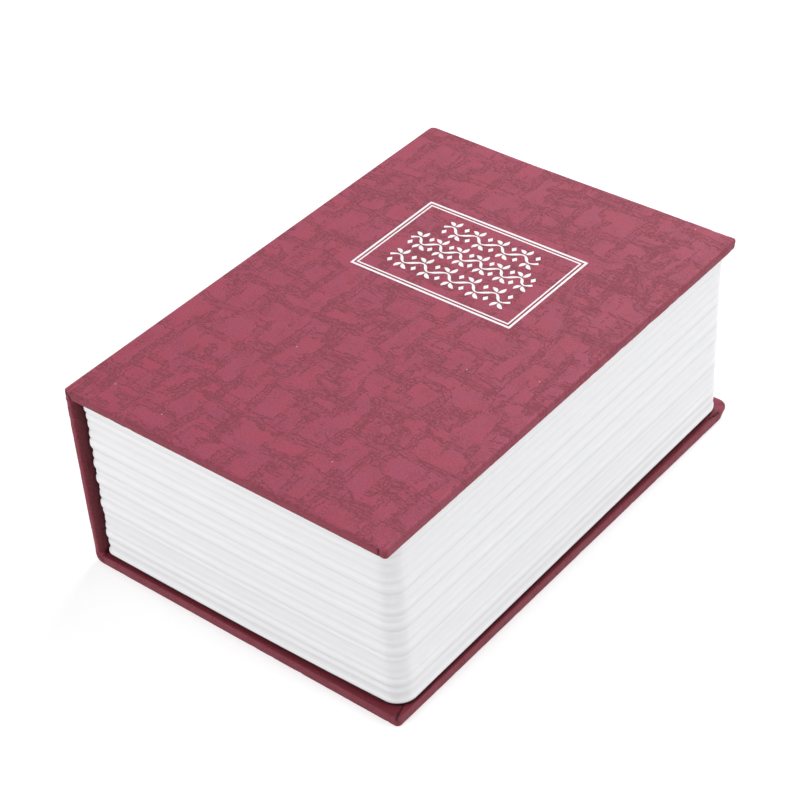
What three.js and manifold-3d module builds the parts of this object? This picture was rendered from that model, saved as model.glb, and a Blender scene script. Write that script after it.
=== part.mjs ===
// Book diversion safe: a dummy book. A case of paper-covered boards holds a ribbed plastic page block,
// and the block holds a sheet-steel strongbox with a hinged lid and a cam lock.
// Millimetres. X runs from the spine to the fore edge, Y from tail to head, Z up.
// The origin is the middle of the closed book's underside, which rests on its back cover.

import * as THREE from 'three';
import { mergeVertices } from 'three/addons/utils/BufferGeometryUtils.js';
import Module from 'manifold-3d';

const wasm = await Module();
wasm.setup();

// The closed book

const caseWidth = 79.5; // spine to fore edge
const caseLength = 115; // tail to head
const caseHeight = 45.2;

// The case: three boards in one sheet of covering paper, which is folded in round their edges

const boardThickness = 1.7;
const paperThickness = 0.25;
const glueLine = 0.05;
const turnInWidth = 12;
const foreCornerRadius = 2;
const spineCornerRadius = 1;
const coverEdgeRadius = 0.5;
const liningThickness = 0.2;
const liningMargin = 4;
const liningSpineMargin = 1.5;
const coverHingeGap = 0.3; // from the spine's top edge to the front cover
const coverRestGap = 0.3; // from the page block to the lining of the closed cover

// The page block: how far the covers stand out past it, its wall and its ribs

const tailSquare = 1.9;
const headSquare = 1.4;
const foreSquare = 0.75;
const blockWall = 2.2;
const blockCornerRadius = 4.5;
const blockDraft = 0.3; // how much each free side leans in over its height
const ribDepth = 0.45;
const spineRimWidth = 2.9; // the block's top rim along the spine

// Each rib's place up the block, half its thickness and how far it stands out, from the bottom up.
// The first two are shares of the block's height, the third is a share of the ribs' depth.
const ribShares = [
  [0.016, 0.0155, 1],
  [0.087, 0.0125, 0.45],
  [0.146, 0.0185, 1],
  [0.194, 0.0125, 0.55],
  [0.241, 0.0105, 0.2],
  [0.298, 0.0125, 0.4],
  [0.346, 0.0185, 0.95],
  [0.408, 0.0125, 0.55],
  [0.446, 0.0105, 0.2],
  [0.506, 0.0185, 1],
  [0.553, 0.0115, 0.3],
  [0.603, 0.0185, 0.95],
  [0.663, 0.0125, 0.45],
  [0.738, 0.0195, 1],
  [0.794, 0.0125, 0.55],
  [0.855, 0.0125, 0.4],
  [0.905, 0.0125, 0.5],
  [0.957, 0.0165, 0.9],
];

// A rib's rounded section: the way across it, from -1 to 1, and the height there as a share
const ribSectionShares = [
  [-1, 0],
  [-0.6, 0.8],
  [0, 1],
  [0.6, 0.8],
  [1, 0],
];

// The strongbox: a folded steel tray that hangs in the block by its flange, and its lid

const sheetThickness = 0.8;
const seatGap = 0.1; // between the parts of the strongbox that lie on each other
const trayClearance = 0.3; // round the flange, inside the block
const trayFloorGap = 0.3; // over the back cover
const flangeLap = 1.8; // the flange's width under the block's rim
const ledgeWidth = 2.2; // the flange's width that carries the lid
const trayCornerRadius = 1.5;
const trayBendRadius = 1.6;
const lidClearance = 0.4;
const lidCornerRadius = 2;

// The lid's hinge: knuckles curled from the two sheets in turn, on one rod

const knuckleBore = 0.9;
const rodRadius = 0.8;
const knuckleCount = 13; // an odd count: the tray has the first and the last
const knuckleGap = 0.3;
const curlAngle = THREE.MathUtils.degToRad(280);
const lidSwingRoom = 3; // from the rod's axis back to the block's rim

// The four screws that hold the tray in the block

const screwHeadRadius = 1.9;
const screwHeadHeight = 1.2;
const screwShankRadius = 0.9;
// A pan head's outline, as shares of its radius and its height
const panHeadShares = [
  [1, 0],
  [1, 0.35],
  [0.9, 0.7],
  [0.6, 1],
];
const screwRecessWidth = 0.5;
const screwRecessLength = 2.2;
const screwRecessDepth = 0.6;
const screwHoleGap = 0.2;
const pilotGap = 0.05;
const bossRadius = 2.7;
const bossGap = 0.3; // from each boss to the tray's wall
const screwTipGap = 0.4;
const screwSpreadShare = 0.6; // the screws' spacing, of the tray's width
const screwHeightShare = 0.78; // their height, of the tray's height

// The cam lock

const lockFlangeRadius = 7.5;
const lockFlangeThickness = 1.1;
const lockFlangeChamfer = 0.4;
const housingRadius = 5.75;
const housingFlat = 5.2; // from the axis to each of its two flats
const housingLength = 12;
const housingGap = 0.1; // round the housing in the lid, the washer and the nut
const washerRadius = 8.2;
const washerThickness = 0.7;
const nutAcrossFlats = 15;
const nutThickness = 3.2;
const nutChamfer = 0.5;
const plugRadius = 4.3;
const plugGap = 0.1;
const plugHeadRadius = 5;
const plugHeadThickness = 1;
const plugRecess = 0.2; // the plug's face below the flange's
const keywayWidth = 1.5;
const keywayLength = 6.4;
const wardWidth = 0.6;
const wardLength = 1.8;
const keywayDepth = 8.5;
const tailSide = 4.4;
const tailCamGap = 0.05;
const tailEndGap = 0.2; // the tail ends this far inside the cam
const camThickness = 2;
const camRunGap = 0.3;
const camHubRadius = 5;
const camReach = 12; // from the axis to the tip
const camTipWidth = 7.6;
const camTipRadius = 1.2;
const camTipGap = 2.1; // from the locked cam's tip to the tray's wall
const camWasherRadius = 3.4;
const camWasherThickness = 0.6;
const camWasherBore = 1.6;
const camScrewHeadRadius = 2.6;
const camScrewHeadHeight = 1.5;
const camScrewShankRadius = 1.25;
const camScrewLength = 6;
const camScrewBoreGap = 0.1;

// The strike that the locked cam turns under

const strikeLength = 24;
const strikeHeight = 7;
const strikeOverlap = 3; // how far the cam's tip reaches under it
const strikeGap = 0.3;

// Steps of the rounded shapes, and how far a cutting shape runs past what it cuts

const cornerSteps = 3;
const edgeSteps = 2;
const curlSteps = 8;
const roundSteps = 16;
const rodSides = 16;
const turnedSides = 32;
const hexSides = 6;
const overrun = 1;

const quarterTurn = Math.PI / 2;
const halfTurn = Math.PI;
const fullTurn = Math.PI * 2;

// Places worked out from the sizes: the case

const paperInset = paperThickness + glueLine;
const coverThickness = boardThickness + paperInset * 2;
const caseBounds = {
  left: -caseWidth / 2,
  right: caseWidth / 2,
  tail: -caseLength / 2,
  head: caseLength / 2,
};
const frontUnderside = caseHeight - coverThickness;
const spineTop = frontUnderside - coverHingeGap;
const spineInside = caseBounds.left + coverThickness;

// The block

const blockBottom = coverThickness + glueLine;
const blockTop = frontUnderside - liningThickness - coverRestGap;
const blockBounds = {
  left: spineInside + glueLine,
  right: caseBounds.right - foreSquare,
  tail: caseBounds.tail + tailSquare,
  head: caseBounds.head - headSquare,
};
const cavityBounds = shrunk(blockBounds, blockWall);
const cavityRadius = blockCornerRadius - blockWall;

// The strongbox

const lidTop = blockTop - lockFlangeThickness;
const lidBottom = lidTop - sheetThickness;
const flangeTop = lidBottom - seatGap;
const flangeBottom = flangeTop - sheetThickness;
const flangeBounds = shrunk(cavityBounds, trayClearance);
const flangeRadius = Math.max(cavityRadius - trayClearance, 0);
const knuckleRadius = knuckleBore + sheetThickness;
const hinge = {
  x: blockBounds.left + spineRimWidth + lidSwingRoom,
  z: lidTop - knuckleRadius,
};
const rimOpening = {
  left: hinge.x - lidSwingRoom,
  right: flangeBounds.right - flangeLap,
  tail: flangeBounds.tail + flangeLap,
  head: flangeBounds.head - flangeLap,
};
const lidBounds = {
  left: hinge.x + knuckleRadius + knuckleGap,
  right: rimOpening.right - lidClearance,
  tail: rimOpening.tail + lidClearance,
  head: rimOpening.head - lidClearance,
};
const trayBounds = {
  left: hinge.x + knuckleBore,
  right: rimOpening.right - ledgeWidth,
  tail: rimOpening.tail + ledgeWidth,
  head: rimOpening.head - ledgeWidth,
};
const trayInside = shrunk(trayBounds, sheetThickness);
const trayBottom = coverThickness + trayFloorGap;
const trayFloor = trayBottom + sheetThickness;
const trayMiddle = {
  x: (trayInside.left + trayInside.right) / 2,
  y: (trayInside.tail + trayInside.head) / 2,
};
const hingeStart = trayBounds.tail + trayCornerRadius;
const hingeEnd = trayBounds.head - trayCornerRadius;
const knucklePitch = (hingeEnd - hingeStart) / knuckleCount;
const hingeNotchBottom = hinge.z - knuckleRadius - knuckleGap;

// The lock and its strike, with heights that are measured from the lid's top face in the lock's group

const lock = {
  x: trayInside.right - camTipGap - camReach,
  y: trayMiddle.y,
};
const housingBore = plugRadius + plugGap;
const counterboreRadius = plugHeadRadius + plugGap;
const plugFace = lockFlangeThickness - plugRecess;
const plugHeadBottom = plugFace - plugHeadThickness;
const washerTop = -sheetThickness;
const nutTop = washerTop - washerThickness;
const camTop = -housingLength - camRunGap;
const camBottom = camTop - camThickness;
const camWasherBottom = camBottom - camWasherThickness;
const camScrewBore = camScrewShankRadius + camScrewBoreGap;
const strikeBottom = lidTop + camTop + strikeGap;
const strikeDepth = camTipGap + strikeOverlap;

// The tray's screws

const screwSpread = (trayInside.right - trayInside.left) * screwSpreadShare;
const screwPlaces = ['tail', 'head'].flatMap((end) => {
  return [-screwSpread / 2, screwSpread / 2].map((offset) => ({ x: trayMiddle.x + offset, end }));
});
const screwHeight = trayFloor + (flangeBottom - trayFloor) * screwHeightShare;
const screwLength = trayBounds.tail - cavityBounds.tail + sheetThickness - screwTipGap;

// Finishes

const finish = (color, roughness, metalness) =>
  new THREE.MeshStandardMaterial({ color, roughness, metalness });
const coveringPaper = finish(0xa54a62, 0.55, 0);
const greyBoard = finish(0x9a948a, 0.95, 0);
const liningPaper = finish(0x2b2727, 0.85, 0);
const pagePlastic = finish(0xefedea, 0.5, 0);
const blackSteel = finish(0x1b1c1e, 0.55, 0.4);
const zincSteel = finish(0xb9bcc0, 0.35, 0.9);
const chromeMetal = finish(0xd4d6d8, 0.12, 1);
const brassMetal = finish(0xb5a067, 0.3, 0.9);

// Bounds, outlines and solids

function shrunk({ left, right, tail, head }, by) {
  return { left: left + by, right: right - by, tail: tail + by, head: head - by };
}

// A rectangle with one radius for its two corners on the spine's side and one for the other two
function outline({ left, right, tail, head }, spineRadius, foreRadius) {
  const shape = new THREE.Shape();
  shape.absarc(left + spineRadius, tail + spineRadius, spineRadius, halfTurn, halfTurn + quarterTurn);
  shape.absarc(right - foreRadius, tail + foreRadius, foreRadius, -quarterTurn, 0);
  shape.absarc(right - foreRadius, head - foreRadius, foreRadius, 0, quarterTurn);
  shape.absarc(left + spineRadius, head - spineRadius, spineRadius, quarterTurn, halfTurn);
  shape.closePath();
  return shape;
}

function plate(shape, bottom, top, curveSegments = cornerSteps) {
  const geometry = new THREE.ExtrudeGeometry(shape, {
    depth: top - bottom,
    bevelEnabled: false,
    curveSegments,
  });
  return geometry.translate(0, 0, bottom);
}

// A plate whose edges are rounded all the way round, above and below
function softPlate(shape, bottom, top, radius) {
  const geometry = new THREE.ExtrudeGeometry(shape, {
    depth: top - bottom - radius * 2,
    bevelThickness: radius,
    bevelSize: radius,
    bevelOffset: -radius,
    bevelSegments: edgeSteps,
    curveSegments: cornerSteps,
  });
  return geometry.translate(0, 0, bottom + radius);
}

// An outline drawn in X and Z, extruded along Y
function strip(shape, start, end) {
  const geometry = new THREE.ExtrudeGeometry(shape, {
    depth: end - start,
    bevelEnabled: false,
    curveSegments: curlSteps,
  });
  return geometry.rotateX(quarterTurn).translate(0, end, 0);
}

function block(left, right, tail, head, bottom, top) {
  const geometry = new THREE.BoxGeometry(right - left, head - tail, top - bottom);
  return geometry.translate((left + right) / 2, (tail + head) / 2, (bottom + top) / 2);
}

// A profile of [radius, height] pairs turned about Z
function revolve(profile, sides = turnedSides) {
  const points = profile.map(([radius, height]) => new THREE.Vector2(radius, height));
  return new THREE.LatheGeometry(points, sides).rotateX(quarterTurn);
}

// A closed solid through flat rings with as many points each, from the lowest up
function loft(rings) {
  const count = rings[0].points.length;
  const positions = rings.flatMap(({ points, height }) => points.flatMap(({ x, y }) => [x, y, height]));
  const corners = [];
  for (let level = 0; level < rings.length - 1; level += 1) {
    for (let i = 0; i < count; i += 1) {
      const here = level * count + i;
      const next = level * count + ((i + 1) % count);
      corners.push(here, next, next + count, here, next + count, here + count);
    }
  }
  const lastRing = (rings.length - 1) * count;
  for (const [a, b, c] of THREE.ShapeUtils.triangulateShape(rings[0].points, [])) {
    corners.push(a, c, b);
    corners.push(lastRing + a, lastRing + b, lastRing + c);
  }
  const geometry = new THREE.BufferGeometry();
  geometry.setAttribute('position', new THREE.Float32BufferAttribute(positions, 3));
  geometry.setIndex(corners);
  return geometry;
}

function ring(shape, height) {
  const points = shape.getPoints(cornerSteps);
  if (points.at(-1).distanceTo(points[0]) < Number.EPSILON) points.pop();
  return { points, height };
}

// A geometry as a solid that can be joined and cut
function solid(geometry) {
  const bare = geometry.clone();
  bare.deleteAttribute('normal');
  bare.deleteAttribute('uv');
  const merged = mergeVertices(bare);
  const corners = [];
  for (let i = 0; i < merged.index.count; i += 3) {
    const [a, b, c] = merged.index.array.subarray(i, i + 3);
    if (a !== b && b !== c && c !== a) corners.push(a, b, c);
  }
  const vertProperties = new Float32Array(merged.attributes.position.array);
  const triVerts = new Uint32Array(corners);
  return new wasm.Manifold(new wasm.Mesh({ numProp: 3, vertProperties, triVerts }));
}

function geometryOf(shape) {
  const { vertProperties, triVerts } = shape.getMesh();
  const geometry = new THREE.BufferGeometry();
  geometry.setAttribute('position', new THREE.BufferAttribute(vertProperties, 3));
  geometry.setIndex(new THREE.BufferAttribute(triVerts, 1));
  geometry.computeVertexNormals();
  return geometry;
}

function joined(first, ...others) {
  return others.reduce((whole, other) => whole.add(solid(other)), solid(first));
}

function cutFrom(whole, ...cutters) {
  return cutters.reduce((rest, cutter) => rest.subtract(solid(cutter)), whole);
}

function part(name, geometry, material) {
  const mesh = new THREE.Mesh(geometry, material);
  mesh.name = name;
  return mesh;
}

// The case

function coverOutline(by) {
  const spineRadius = Math.max(spineCornerRadius - by, 0);
  const foreRadius = Math.max(foreCornerRadius - by, 0);
  return outline(shrunk(caseBounds, by), spineRadius, foreRadius);
}

function backBoard() {
  return plate(coverOutline(paperInset), paperInset, paperInset + boardThickness);
}

function frontBoard() {
  const bottom = frontUnderside + paperInset;
  return plate(coverOutline(paperInset), bottom, bottom + boardThickness);
}

function spineOutline(by) {
  const bounds = { ...shrunk(caseBounds, by), right: spineInside - by };
  return outline(bounds, Math.max(spineCornerRadius - by, 0), 0);
}

function spineBoard() {
  return plate(spineOutline(paperInset), coverThickness - paperThickness, spineTop);
}

// The sheet round the back board and the spine board, folded in at the tail, the head and the fore edge.
// It goes on over the front board, which has its own stretch because it moves.
function caseWrap() {
  const { left, right, tail, head } = caseBounds;
  const sheet = joined(
    softPlate(coverOutline(0), 0, coverThickness, coverEdgeRadius),
    plate(spineOutline(0), coverThickness / 2, spineTop),
  );
  const middle = coverThickness / 2;
  const windowTail = tail + turnInWidth;
  const windowHead = head - turnInWidth;
  return cutFrom(
    sheet,
    plate(coverOutline(paperThickness), paperThickness, coverThickness - paperThickness),
    plate(spineOutline(paperThickness), middle, spineTop + overrun),
    block(spineInside, right - turnInWidth, windowTail, windowHead, middle, coverThickness + overrun),
    block(left + middle, spineInside + overrun, windowTail, windowHead, coverThickness, spineTop + overrun),
  );
}

// The sheet round the front board, folded in at the same three edges and open at the hinge
function frontWrap() {
  const { left, right, tail, head } = caseBounds;
  const middle = frontUnderside + coverThickness / 2;
  return cutFrom(
    solid(softPlate(coverOutline(0), frontUnderside, caseHeight, coverEdgeRadius)),
    plate(coverOutline(paperThickness), frontUnderside + paperThickness, caseHeight - paperThickness),
    block(
      left + spineCornerRadius,
      right - turnInWidth,
      tail + turnInWidth,
      head - turnInWidth,
      frontUnderside - overrun,
      middle,
    ),
  );
}

function frontLining() {
  const bounds = { ...shrunk(caseBounds, liningMargin), left: caseBounds.left + liningSpineMargin };
  return plate(outline(bounds, 0, 0), frontUnderside - liningThickness, frontUnderside);
}

// The page block

// Its outline shrinks on the three free sides only, because the fourth is glued to the spine
function blockRing(height, by) {
  const bounds = { ...shrunk(blockBounds, by), left: blockBounds.left };
  return ring(outline(bounds, 0, blockCornerRadius - by), height);
}

function ribbedBlock() {
  const tall = blockTop - blockBottom;
  const levels = [];
  for (const [place, halfThickness, depth] of ribShares) {
    for (const [across, rise] of ribSectionShares) {
      levels.push([place + across * halfThickness, depth * rise]);
    }
  }
  const ends = [[1, 0]];
  if (levels[0][0] > 0) ends.unshift([0, 0]);
  const profile = [...ends, ...levels].sort(([first], [second]) => first - second);
  return loft(
    profile.map(([place, rise]) => {
      const lean = blockDraft * place;
      return blockRing(blockBottom + tall * place, lean + ribDepth * (1 - rise));
    }),
  );
}

// A cylinder along Y from the block's end wall towards the tray, or a hole of that shape
function alongScrew({ x, end }, radius, from, to) {
  const cylinder = new THREE.CylinderGeometry(radius, radius, to - from, turnedSides);
  const wall = end === 'tail' ? cavityBounds.tail : cavityBounds.head;
  const inward = end === 'tail' ? 1 : -1;
  return cylinder.translate(x, wall + (inward * (from + to)) / 2, screwHeight);
}

function pageBlock() {
  const rimBottom = lidBottom;
  const rimOutline = outline(rimOpening, lidClearance, lidCornerRadius + lidClearance);
  const bossLength = trayBounds.tail - cavityBounds.tail - bossGap;
  const shell = cutFrom(
    solid(ribbedBlock()),
    plate(outline(cavityBounds, cavityRadius, cavityRadius), blockBottom - overrun, rimBottom),
    plate(rimOutline, rimBottom - overrun, blockTop + overrun),
  );
  const bosses = screwPlaces.map((place) => alongScrew(place, bossRadius, -blockWall / 2, bossLength));
  const pilots = screwPlaces.map((place) => {
    return alongScrew(place, screwShankRadius + pilotGap, 0, bossLength + overrun);
  });
  return cutFrom(shell.add(joined(...bosses)), ...pilots);
}

// The strongbox's tray

// One sheet's outer or inner face, from the bend at the floor to the top
function trayRings(bounds, cornerRadius, bendRadius, bottom, top) {
  const rings = [];
  for (let step = 0; step <= edgeSteps; step += 1) {
    const turn = (quarterTurn * step) / edgeSteps;
    const by = bendRadius * (1 - Math.sin(turn));
    const shape = outline(shrunk(bounds, by), cornerRadius, cornerRadius);
    rings.push(ring(shape, bottom + bendRadius * (1 - Math.cos(turn))));
  }
  rings.push(ring(outline(bounds, cornerRadius, cornerRadius), top));
  return loft(rings);
}

// The edge of a sheet that runs up to the rod and curls over it
function trayKnuckle(index) {
  const start = hingeStart + index * knucklePitch + knuckleGap / 2;
  const end = start + knucklePitch - knuckleGap;
  const shape = new THREE.Shape();
  shape.moveTo(hinge.x + knuckleRadius, hingeNotchBottom - sheetThickness);
  shape.absarc(hinge.x, hinge.z, knuckleRadius, 0, curlAngle);
  shape.absarc(hinge.x, hinge.z, knuckleBore, curlAngle, 0, true);
  shape.lineTo(hinge.x + knuckleBore, hingeNotchBottom - sheetThickness);
  shape.closePath();
  return strip(shape, start, end);
}

function trayTub() {
  const outerTub = trayRings(trayBounds, trayCornerRadius, trayBendRadius, trayBottom, flangeTop);
  const innerRadius = Math.max(trayCornerRadius - sheetThickness, 0);
  const innerBend = Math.max(trayBendRadius - sheetThickness, 0);
  const innerTub = trayRings(trayInside, innerRadius, innerBend, trayFloor, flangeTop + overrun);
  const flange = plate(outline(flangeBounds, flangeRadius, flangeRadius), flangeBottom, flangeTop);
  return cutFrom(joined(outerTub, flange), innerTub);
}

function strongboxTray() {
  const hingeNotch = block(
    flangeBounds.left - overrun,
    trayInside.left + seatGap,
    hingeStart - knuckleGap,
    hingeEnd + knuckleGap,
    hingeNotchBottom,
    flangeTop + overrun,
  );
  const knuckles = [];
  for (let index = 0; index < knuckleCount; index += 2) knuckles.push(trayKnuckle(index));
  const wallOuter = trayBounds.tail - cavityBounds.tail;
  const wallInner = wallOuter + sheetThickness;
  const screwHoles = screwPlaces.map((place) => {
    return alongScrew(place, screwShankRadius + screwHoleGap, wallOuter - overrun, wallInner + overrun);
  });
  return cutFrom(cutFrom(trayTub(), hingeNotch).add(joined(...knuckles)), ...screwHoles);
}

// A folded angle welded to the tray's fore wall
function strikeBracket() {
  const { right } = trayInside;
  const tail = lock.y - strikeLength / 2;
  const head = lock.y + strikeLength / 2;
  const shape = new THREE.Shape();
  shape.moveTo(right - strikeDepth, strikeBottom);
  shape.lineTo(right, strikeBottom);
  shape.lineTo(right, strikeBottom + strikeHeight);
  shape.lineTo(right - sheetThickness, strikeBottom + strikeHeight);
  shape.lineTo(right - sheetThickness, strikeBottom + sheetThickness);
  shape.lineTo(right - strikeDepth, strikeBottom + sheetThickness);
  shape.closePath();
  return strip(shape, tail, head);
}

function hingeRod() {
  const rod = new THREE.CylinderGeometry(rodRadius, rodRadius, hingeEnd - hingeStart, rodSides);
  return rod.translate(hinge.x, (hingeStart + hingeEnd) / 2, hinge.z);
}

// A pan-head screw with a cross recess: its head above z 0, its shank below
function panScrew(headRadius, headHeight, shankRadius, shankLength, recess) {
  const blank = revolve([
    [0, -shankLength],
    [shankRadius / 2, -shankLength],
    [shankRadius, -shankLength + shankRadius],
    [shankRadius, 0],
    ...panHeadShares.map(([across, up]) => [headRadius * across, headHeight * up]),
    [0, headHeight],
  ]);
  const { width, length, depth } = recess;
  const bottom = headHeight - depth;
  const top = headHeight + overrun;
  return geometryOf(
    cutFrom(
      solid(blank),
      block(-width / 2, width / 2, -length / 2, length / 2, bottom, top),
      block(-length / 2, length / 2, -width / 2, width / 2, bottom, top),
    ),
  );
}

// The lid

function lidKnuckle(index) {
  const start = hingeStart + index * knucklePitch + knuckleGap / 2;
  const end = start + knucklePitch - knuckleGap;
  const shape = new THREE.Shape();
  shape.moveTo(lidBounds.left + sheetThickness, lidTop);
  shape.absarc(hinge.x, hinge.z, knuckleRadius, quarterTurn, quarterTurn + curlAngle);
  shape.absarc(hinge.x, hinge.z, knuckleBore, quarterTurn + curlAngle, quarterTurn, true);
  shape.lineTo(lidBounds.left + sheetThickness, lidBottom);
  shape.closePath();
  return strip(shape, start, end);
}

// A circle with two flats, which stops the housing from turning in the lid
function doubleD(radius, flat) {
  const reach = Math.acos(flat / radius);
  const shape = new THREE.Shape();
  shape.absarc(0, 0, radius, reach, halfTurn - reach);
  shape.absarc(0, 0, radius, halfTurn + reach, fullTurn - reach);
  shape.closePath();
  return shape;
}

function lidPanel() {
  const knuckles = [];
  for (let index = 1; index < knuckleCount; index += 2) knuckles.push(lidKnuckle(index));
  const hole = plate(
    doubleD(housingRadius + housingGap, housingFlat + housingGap),
    lidBottom - overrun,
    lidTop + overrun,
    roundSteps,
  );
  const panel = plate(outline(lidBounds, 0, lidCornerRadius), lidBottom, lidTop);
  return cutFrom(joined(panel, ...knuckles), hole.translate(lock.x, lock.y, 0));
}

// The lock, drawn about its own axis from the lid's top face

function lockHousing() {
  const barrelTop = lockFlangeThickness / 2;
  const barrel = plate(doubleD(housingRadius, housingFlat), -housingLength, barrelTop, roundSteps);
  const flange = revolve([
    [0, 0],
    [lockFlangeRadius, 0],
    [lockFlangeRadius, lockFlangeThickness - lockFlangeChamfer],
    [lockFlangeRadius - lockFlangeChamfer, lockFlangeThickness],
    [0, lockFlangeThickness],
  ]);
  const bore = revolve([
    [0, -housingLength - overrun],
    [housingBore, -housingLength - overrun],
    [housingBore, plugHeadBottom - plugGap],
    [counterboreRadius, plugHeadBottom - plugGap],
    [counterboreRadius, lockFlangeThickness + overrun],
    [0, lockFlangeThickness + overrun],
  ]);
  return cutFrom(joined(barrel, flange), bore);
}

function lockWasher() {
  const bore = housingRadius + housingGap;
  const bottom = washerTop - washerThickness;
  return revolve([
    [bore, bottom],
    [washerRadius, bottom],
    [washerRadius, washerTop],
    [bore, washerTop],
    [bore, bottom],
  ]);
}

function lockNut() {
  const cornerRadius = nutAcrossFlats / 2 / Math.cos(halfTurn / hexSides);
  const bottom = nutTop - nutThickness;
  const hexagon = new THREE.CylinderGeometry(cornerRadius, cornerRadius, nutThickness, hexSides);
  hexagon.rotateX(quarterTurn).translate(0, 0, (nutTop + bottom) / 2);
  const bore = revolve([
    [0, bottom - overrun],
    [housingRadius + housingGap, bottom - overrun],
    [housingRadius + housingGap, nutTop + overrun],
    [0, nutTop + overrun],
  ]);
  const rounding = revolve([
    [0, bottom],
    [cornerRadius - nutChamfer * 2, bottom],
    [cornerRadius, bottom + nutChamfer],
    [cornerRadius, nutTop - nutChamfer],
    [cornerRadius - nutChamfer * 2, nutTop],
    [0, nutTop],
  ]);
  return cutFrom(solid(hexagon).intersect(solid(rounding)), bore);
}

function lockPlug() {
  const body = revolve([
    [0, -housingLength],
    [plugRadius, -housingLength],
    [plugRadius, plugHeadBottom],
    [plugHeadRadius, plugHeadBottom],
    [plugHeadRadius, plugFace],
    [0, plugFace],
  ]);
  const half = tailSide / 2;
  const tail = block(-half, half, -half, half, camBottom + tailEndGap, -housingLength / 2);
  const keyBottom = plugFace - keywayDepth;
  const keyTop = plugFace + overrun;
  const keySide = keywayWidth / 2;
  const keyEnd = keywayLength / 2;
  const keyway = block(-keySide, keySide, -keyEnd, keyEnd, keyBottom, keyTop);
  const ward = block(0, keySide + wardWidth, -keyEnd, wardLength - keyEnd, keyBottom, keyTop);
  const screwBore = revolve([
    [0, camBottom - overrun],
    [camScrewBore, camBottom - overrun],
    [camScrewBore, camWasherBottom + camScrewLength + camScrewBoreGap],
    [0, camWasherBottom + camScrewLength + camScrewBoreGap],
  ]);
  return cutFrom(joined(body, tail), keyway, ward, screwBore);
}

// At rest the cam points along the tray's fore wall, clear of the strike
function lockCam() {
  const halfTip = camTipWidth / 2;
  const rootAngle = Math.acos(halfTip / camHubRadius);
  const shape = new THREE.Shape();
  shape.absarc(0, 0, camHubRadius, halfTurn - rootAngle, fullTurn + rootAngle);
  shape.absarc(halfTip - camTipRadius, camReach - camTipRadius, camTipRadius, 0, quarterTurn);
  shape.absarc(camTipRadius - halfTip, camReach - camTipRadius, camTipRadius, quarterTurn, halfTurn);
  shape.closePath();
  const cut = tailSide / 2 + tailCamGap;
  const hole = new THREE.Path();
  hole.moveTo(-cut, -cut);
  hole.lineTo(-cut, cut);
  hole.lineTo(cut, cut);
  hole.lineTo(cut, -cut);
  hole.closePath();
  shape.holes.push(hole);
  return plate(shape, camBottom, camTop, curlSteps);
}

function camWasher() {
  return revolve([
    [camWasherBore, camWasherBottom],
    [camWasherRadius, camWasherBottom],
    [camWasherRadius, camBottom],
    [camWasherBore, camBottom],
    [camWasherBore, camWasherBottom],
  ]);
}

// Assembly

const recess = { width: screwRecessWidth, length: screwRecessLength, depth: screwRecessDepth };

const safe = new THREE.Group();
safe.add(
  part('back_board', backBoard(), greyBoard),
  part('spine_board', spineBoard(), greyBoard),
  part('case_wrap', geometryOf(caseWrap()), coveringPaper),
  part('page_block', geometryOf(pageBlock()), pagePlastic),
  part('strongbox_tray', geometryOf(strongboxTray()), blackSteel),
  part('strike_bracket', strikeBracket(), zincSteel),
  part('hinge_rod', hingeRod(), zincSteel),
);

screwPlaces.forEach((place, index) => {
  const geometry = panScrew(screwHeadRadius, screwHeadHeight, screwShankRadius, screwLength, recess);
  const screw = part(`tray_screw_${index + 1}`, geometry, zincSteel);
  const atTail = place.end === 'tail';
  const seat = atTail ? trayInside.tail + seatGap : trayInside.head - seatGap;
  screw.position.set(place.x, seat, screwHeight);
  screw.rotation.x = atTail ? -quarterTurn : quarterTurn;
  safe.add(screw);
});

const frontCover = new THREE.Group();
frontCover.add(
  part('front_board', frontBoard(), greyBoard),
  part('front_wrap', geometryOf(frontWrap()), coveringPaper),
  part('front_lining', frontLining(), liningPaper),
);
safe.add(frontCover);

const lid = new THREE.Group();
lid.add(part('lid_panel', geometryOf(lidPanel()), blackSteel));
safe.add(lid);

const lockBody = new THREE.Group();
lockBody.position.set(lock.x, lock.y, lidTop);
lockBody.add(
  part('lock_housing', geometryOf(lockHousing()), chromeMetal),
  part('lock_washer', lockWasher(), zincSteel),
  part('lock_nut', geometryOf(lockNut()), zincSteel),
);
lid.add(lockBody);

const lockCore = new THREE.Group();
const camScrew = part(
  'cam_screw',
  panScrew(camScrewHeadRadius, camScrewHeadHeight, camScrewShankRadius, camScrewLength, recess),
  zincSteel,
);
camScrew.position.z = camWasherBottom;
camScrew.rotation.x = halfTurn;
lockCore.add(
  part('lock_plug', geometryOf(lockPlug()), brassMetal),
  part('lock_cam', lockCam(), zincSteel),
  part('cam_washer', camWasher(), zincSteel),
  camScrew,
);
lockBody.add(lockCore);

export default safe;
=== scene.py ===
import math

import bmesh
import bpy
from mathutils import Matrix, Vector, noise


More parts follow.
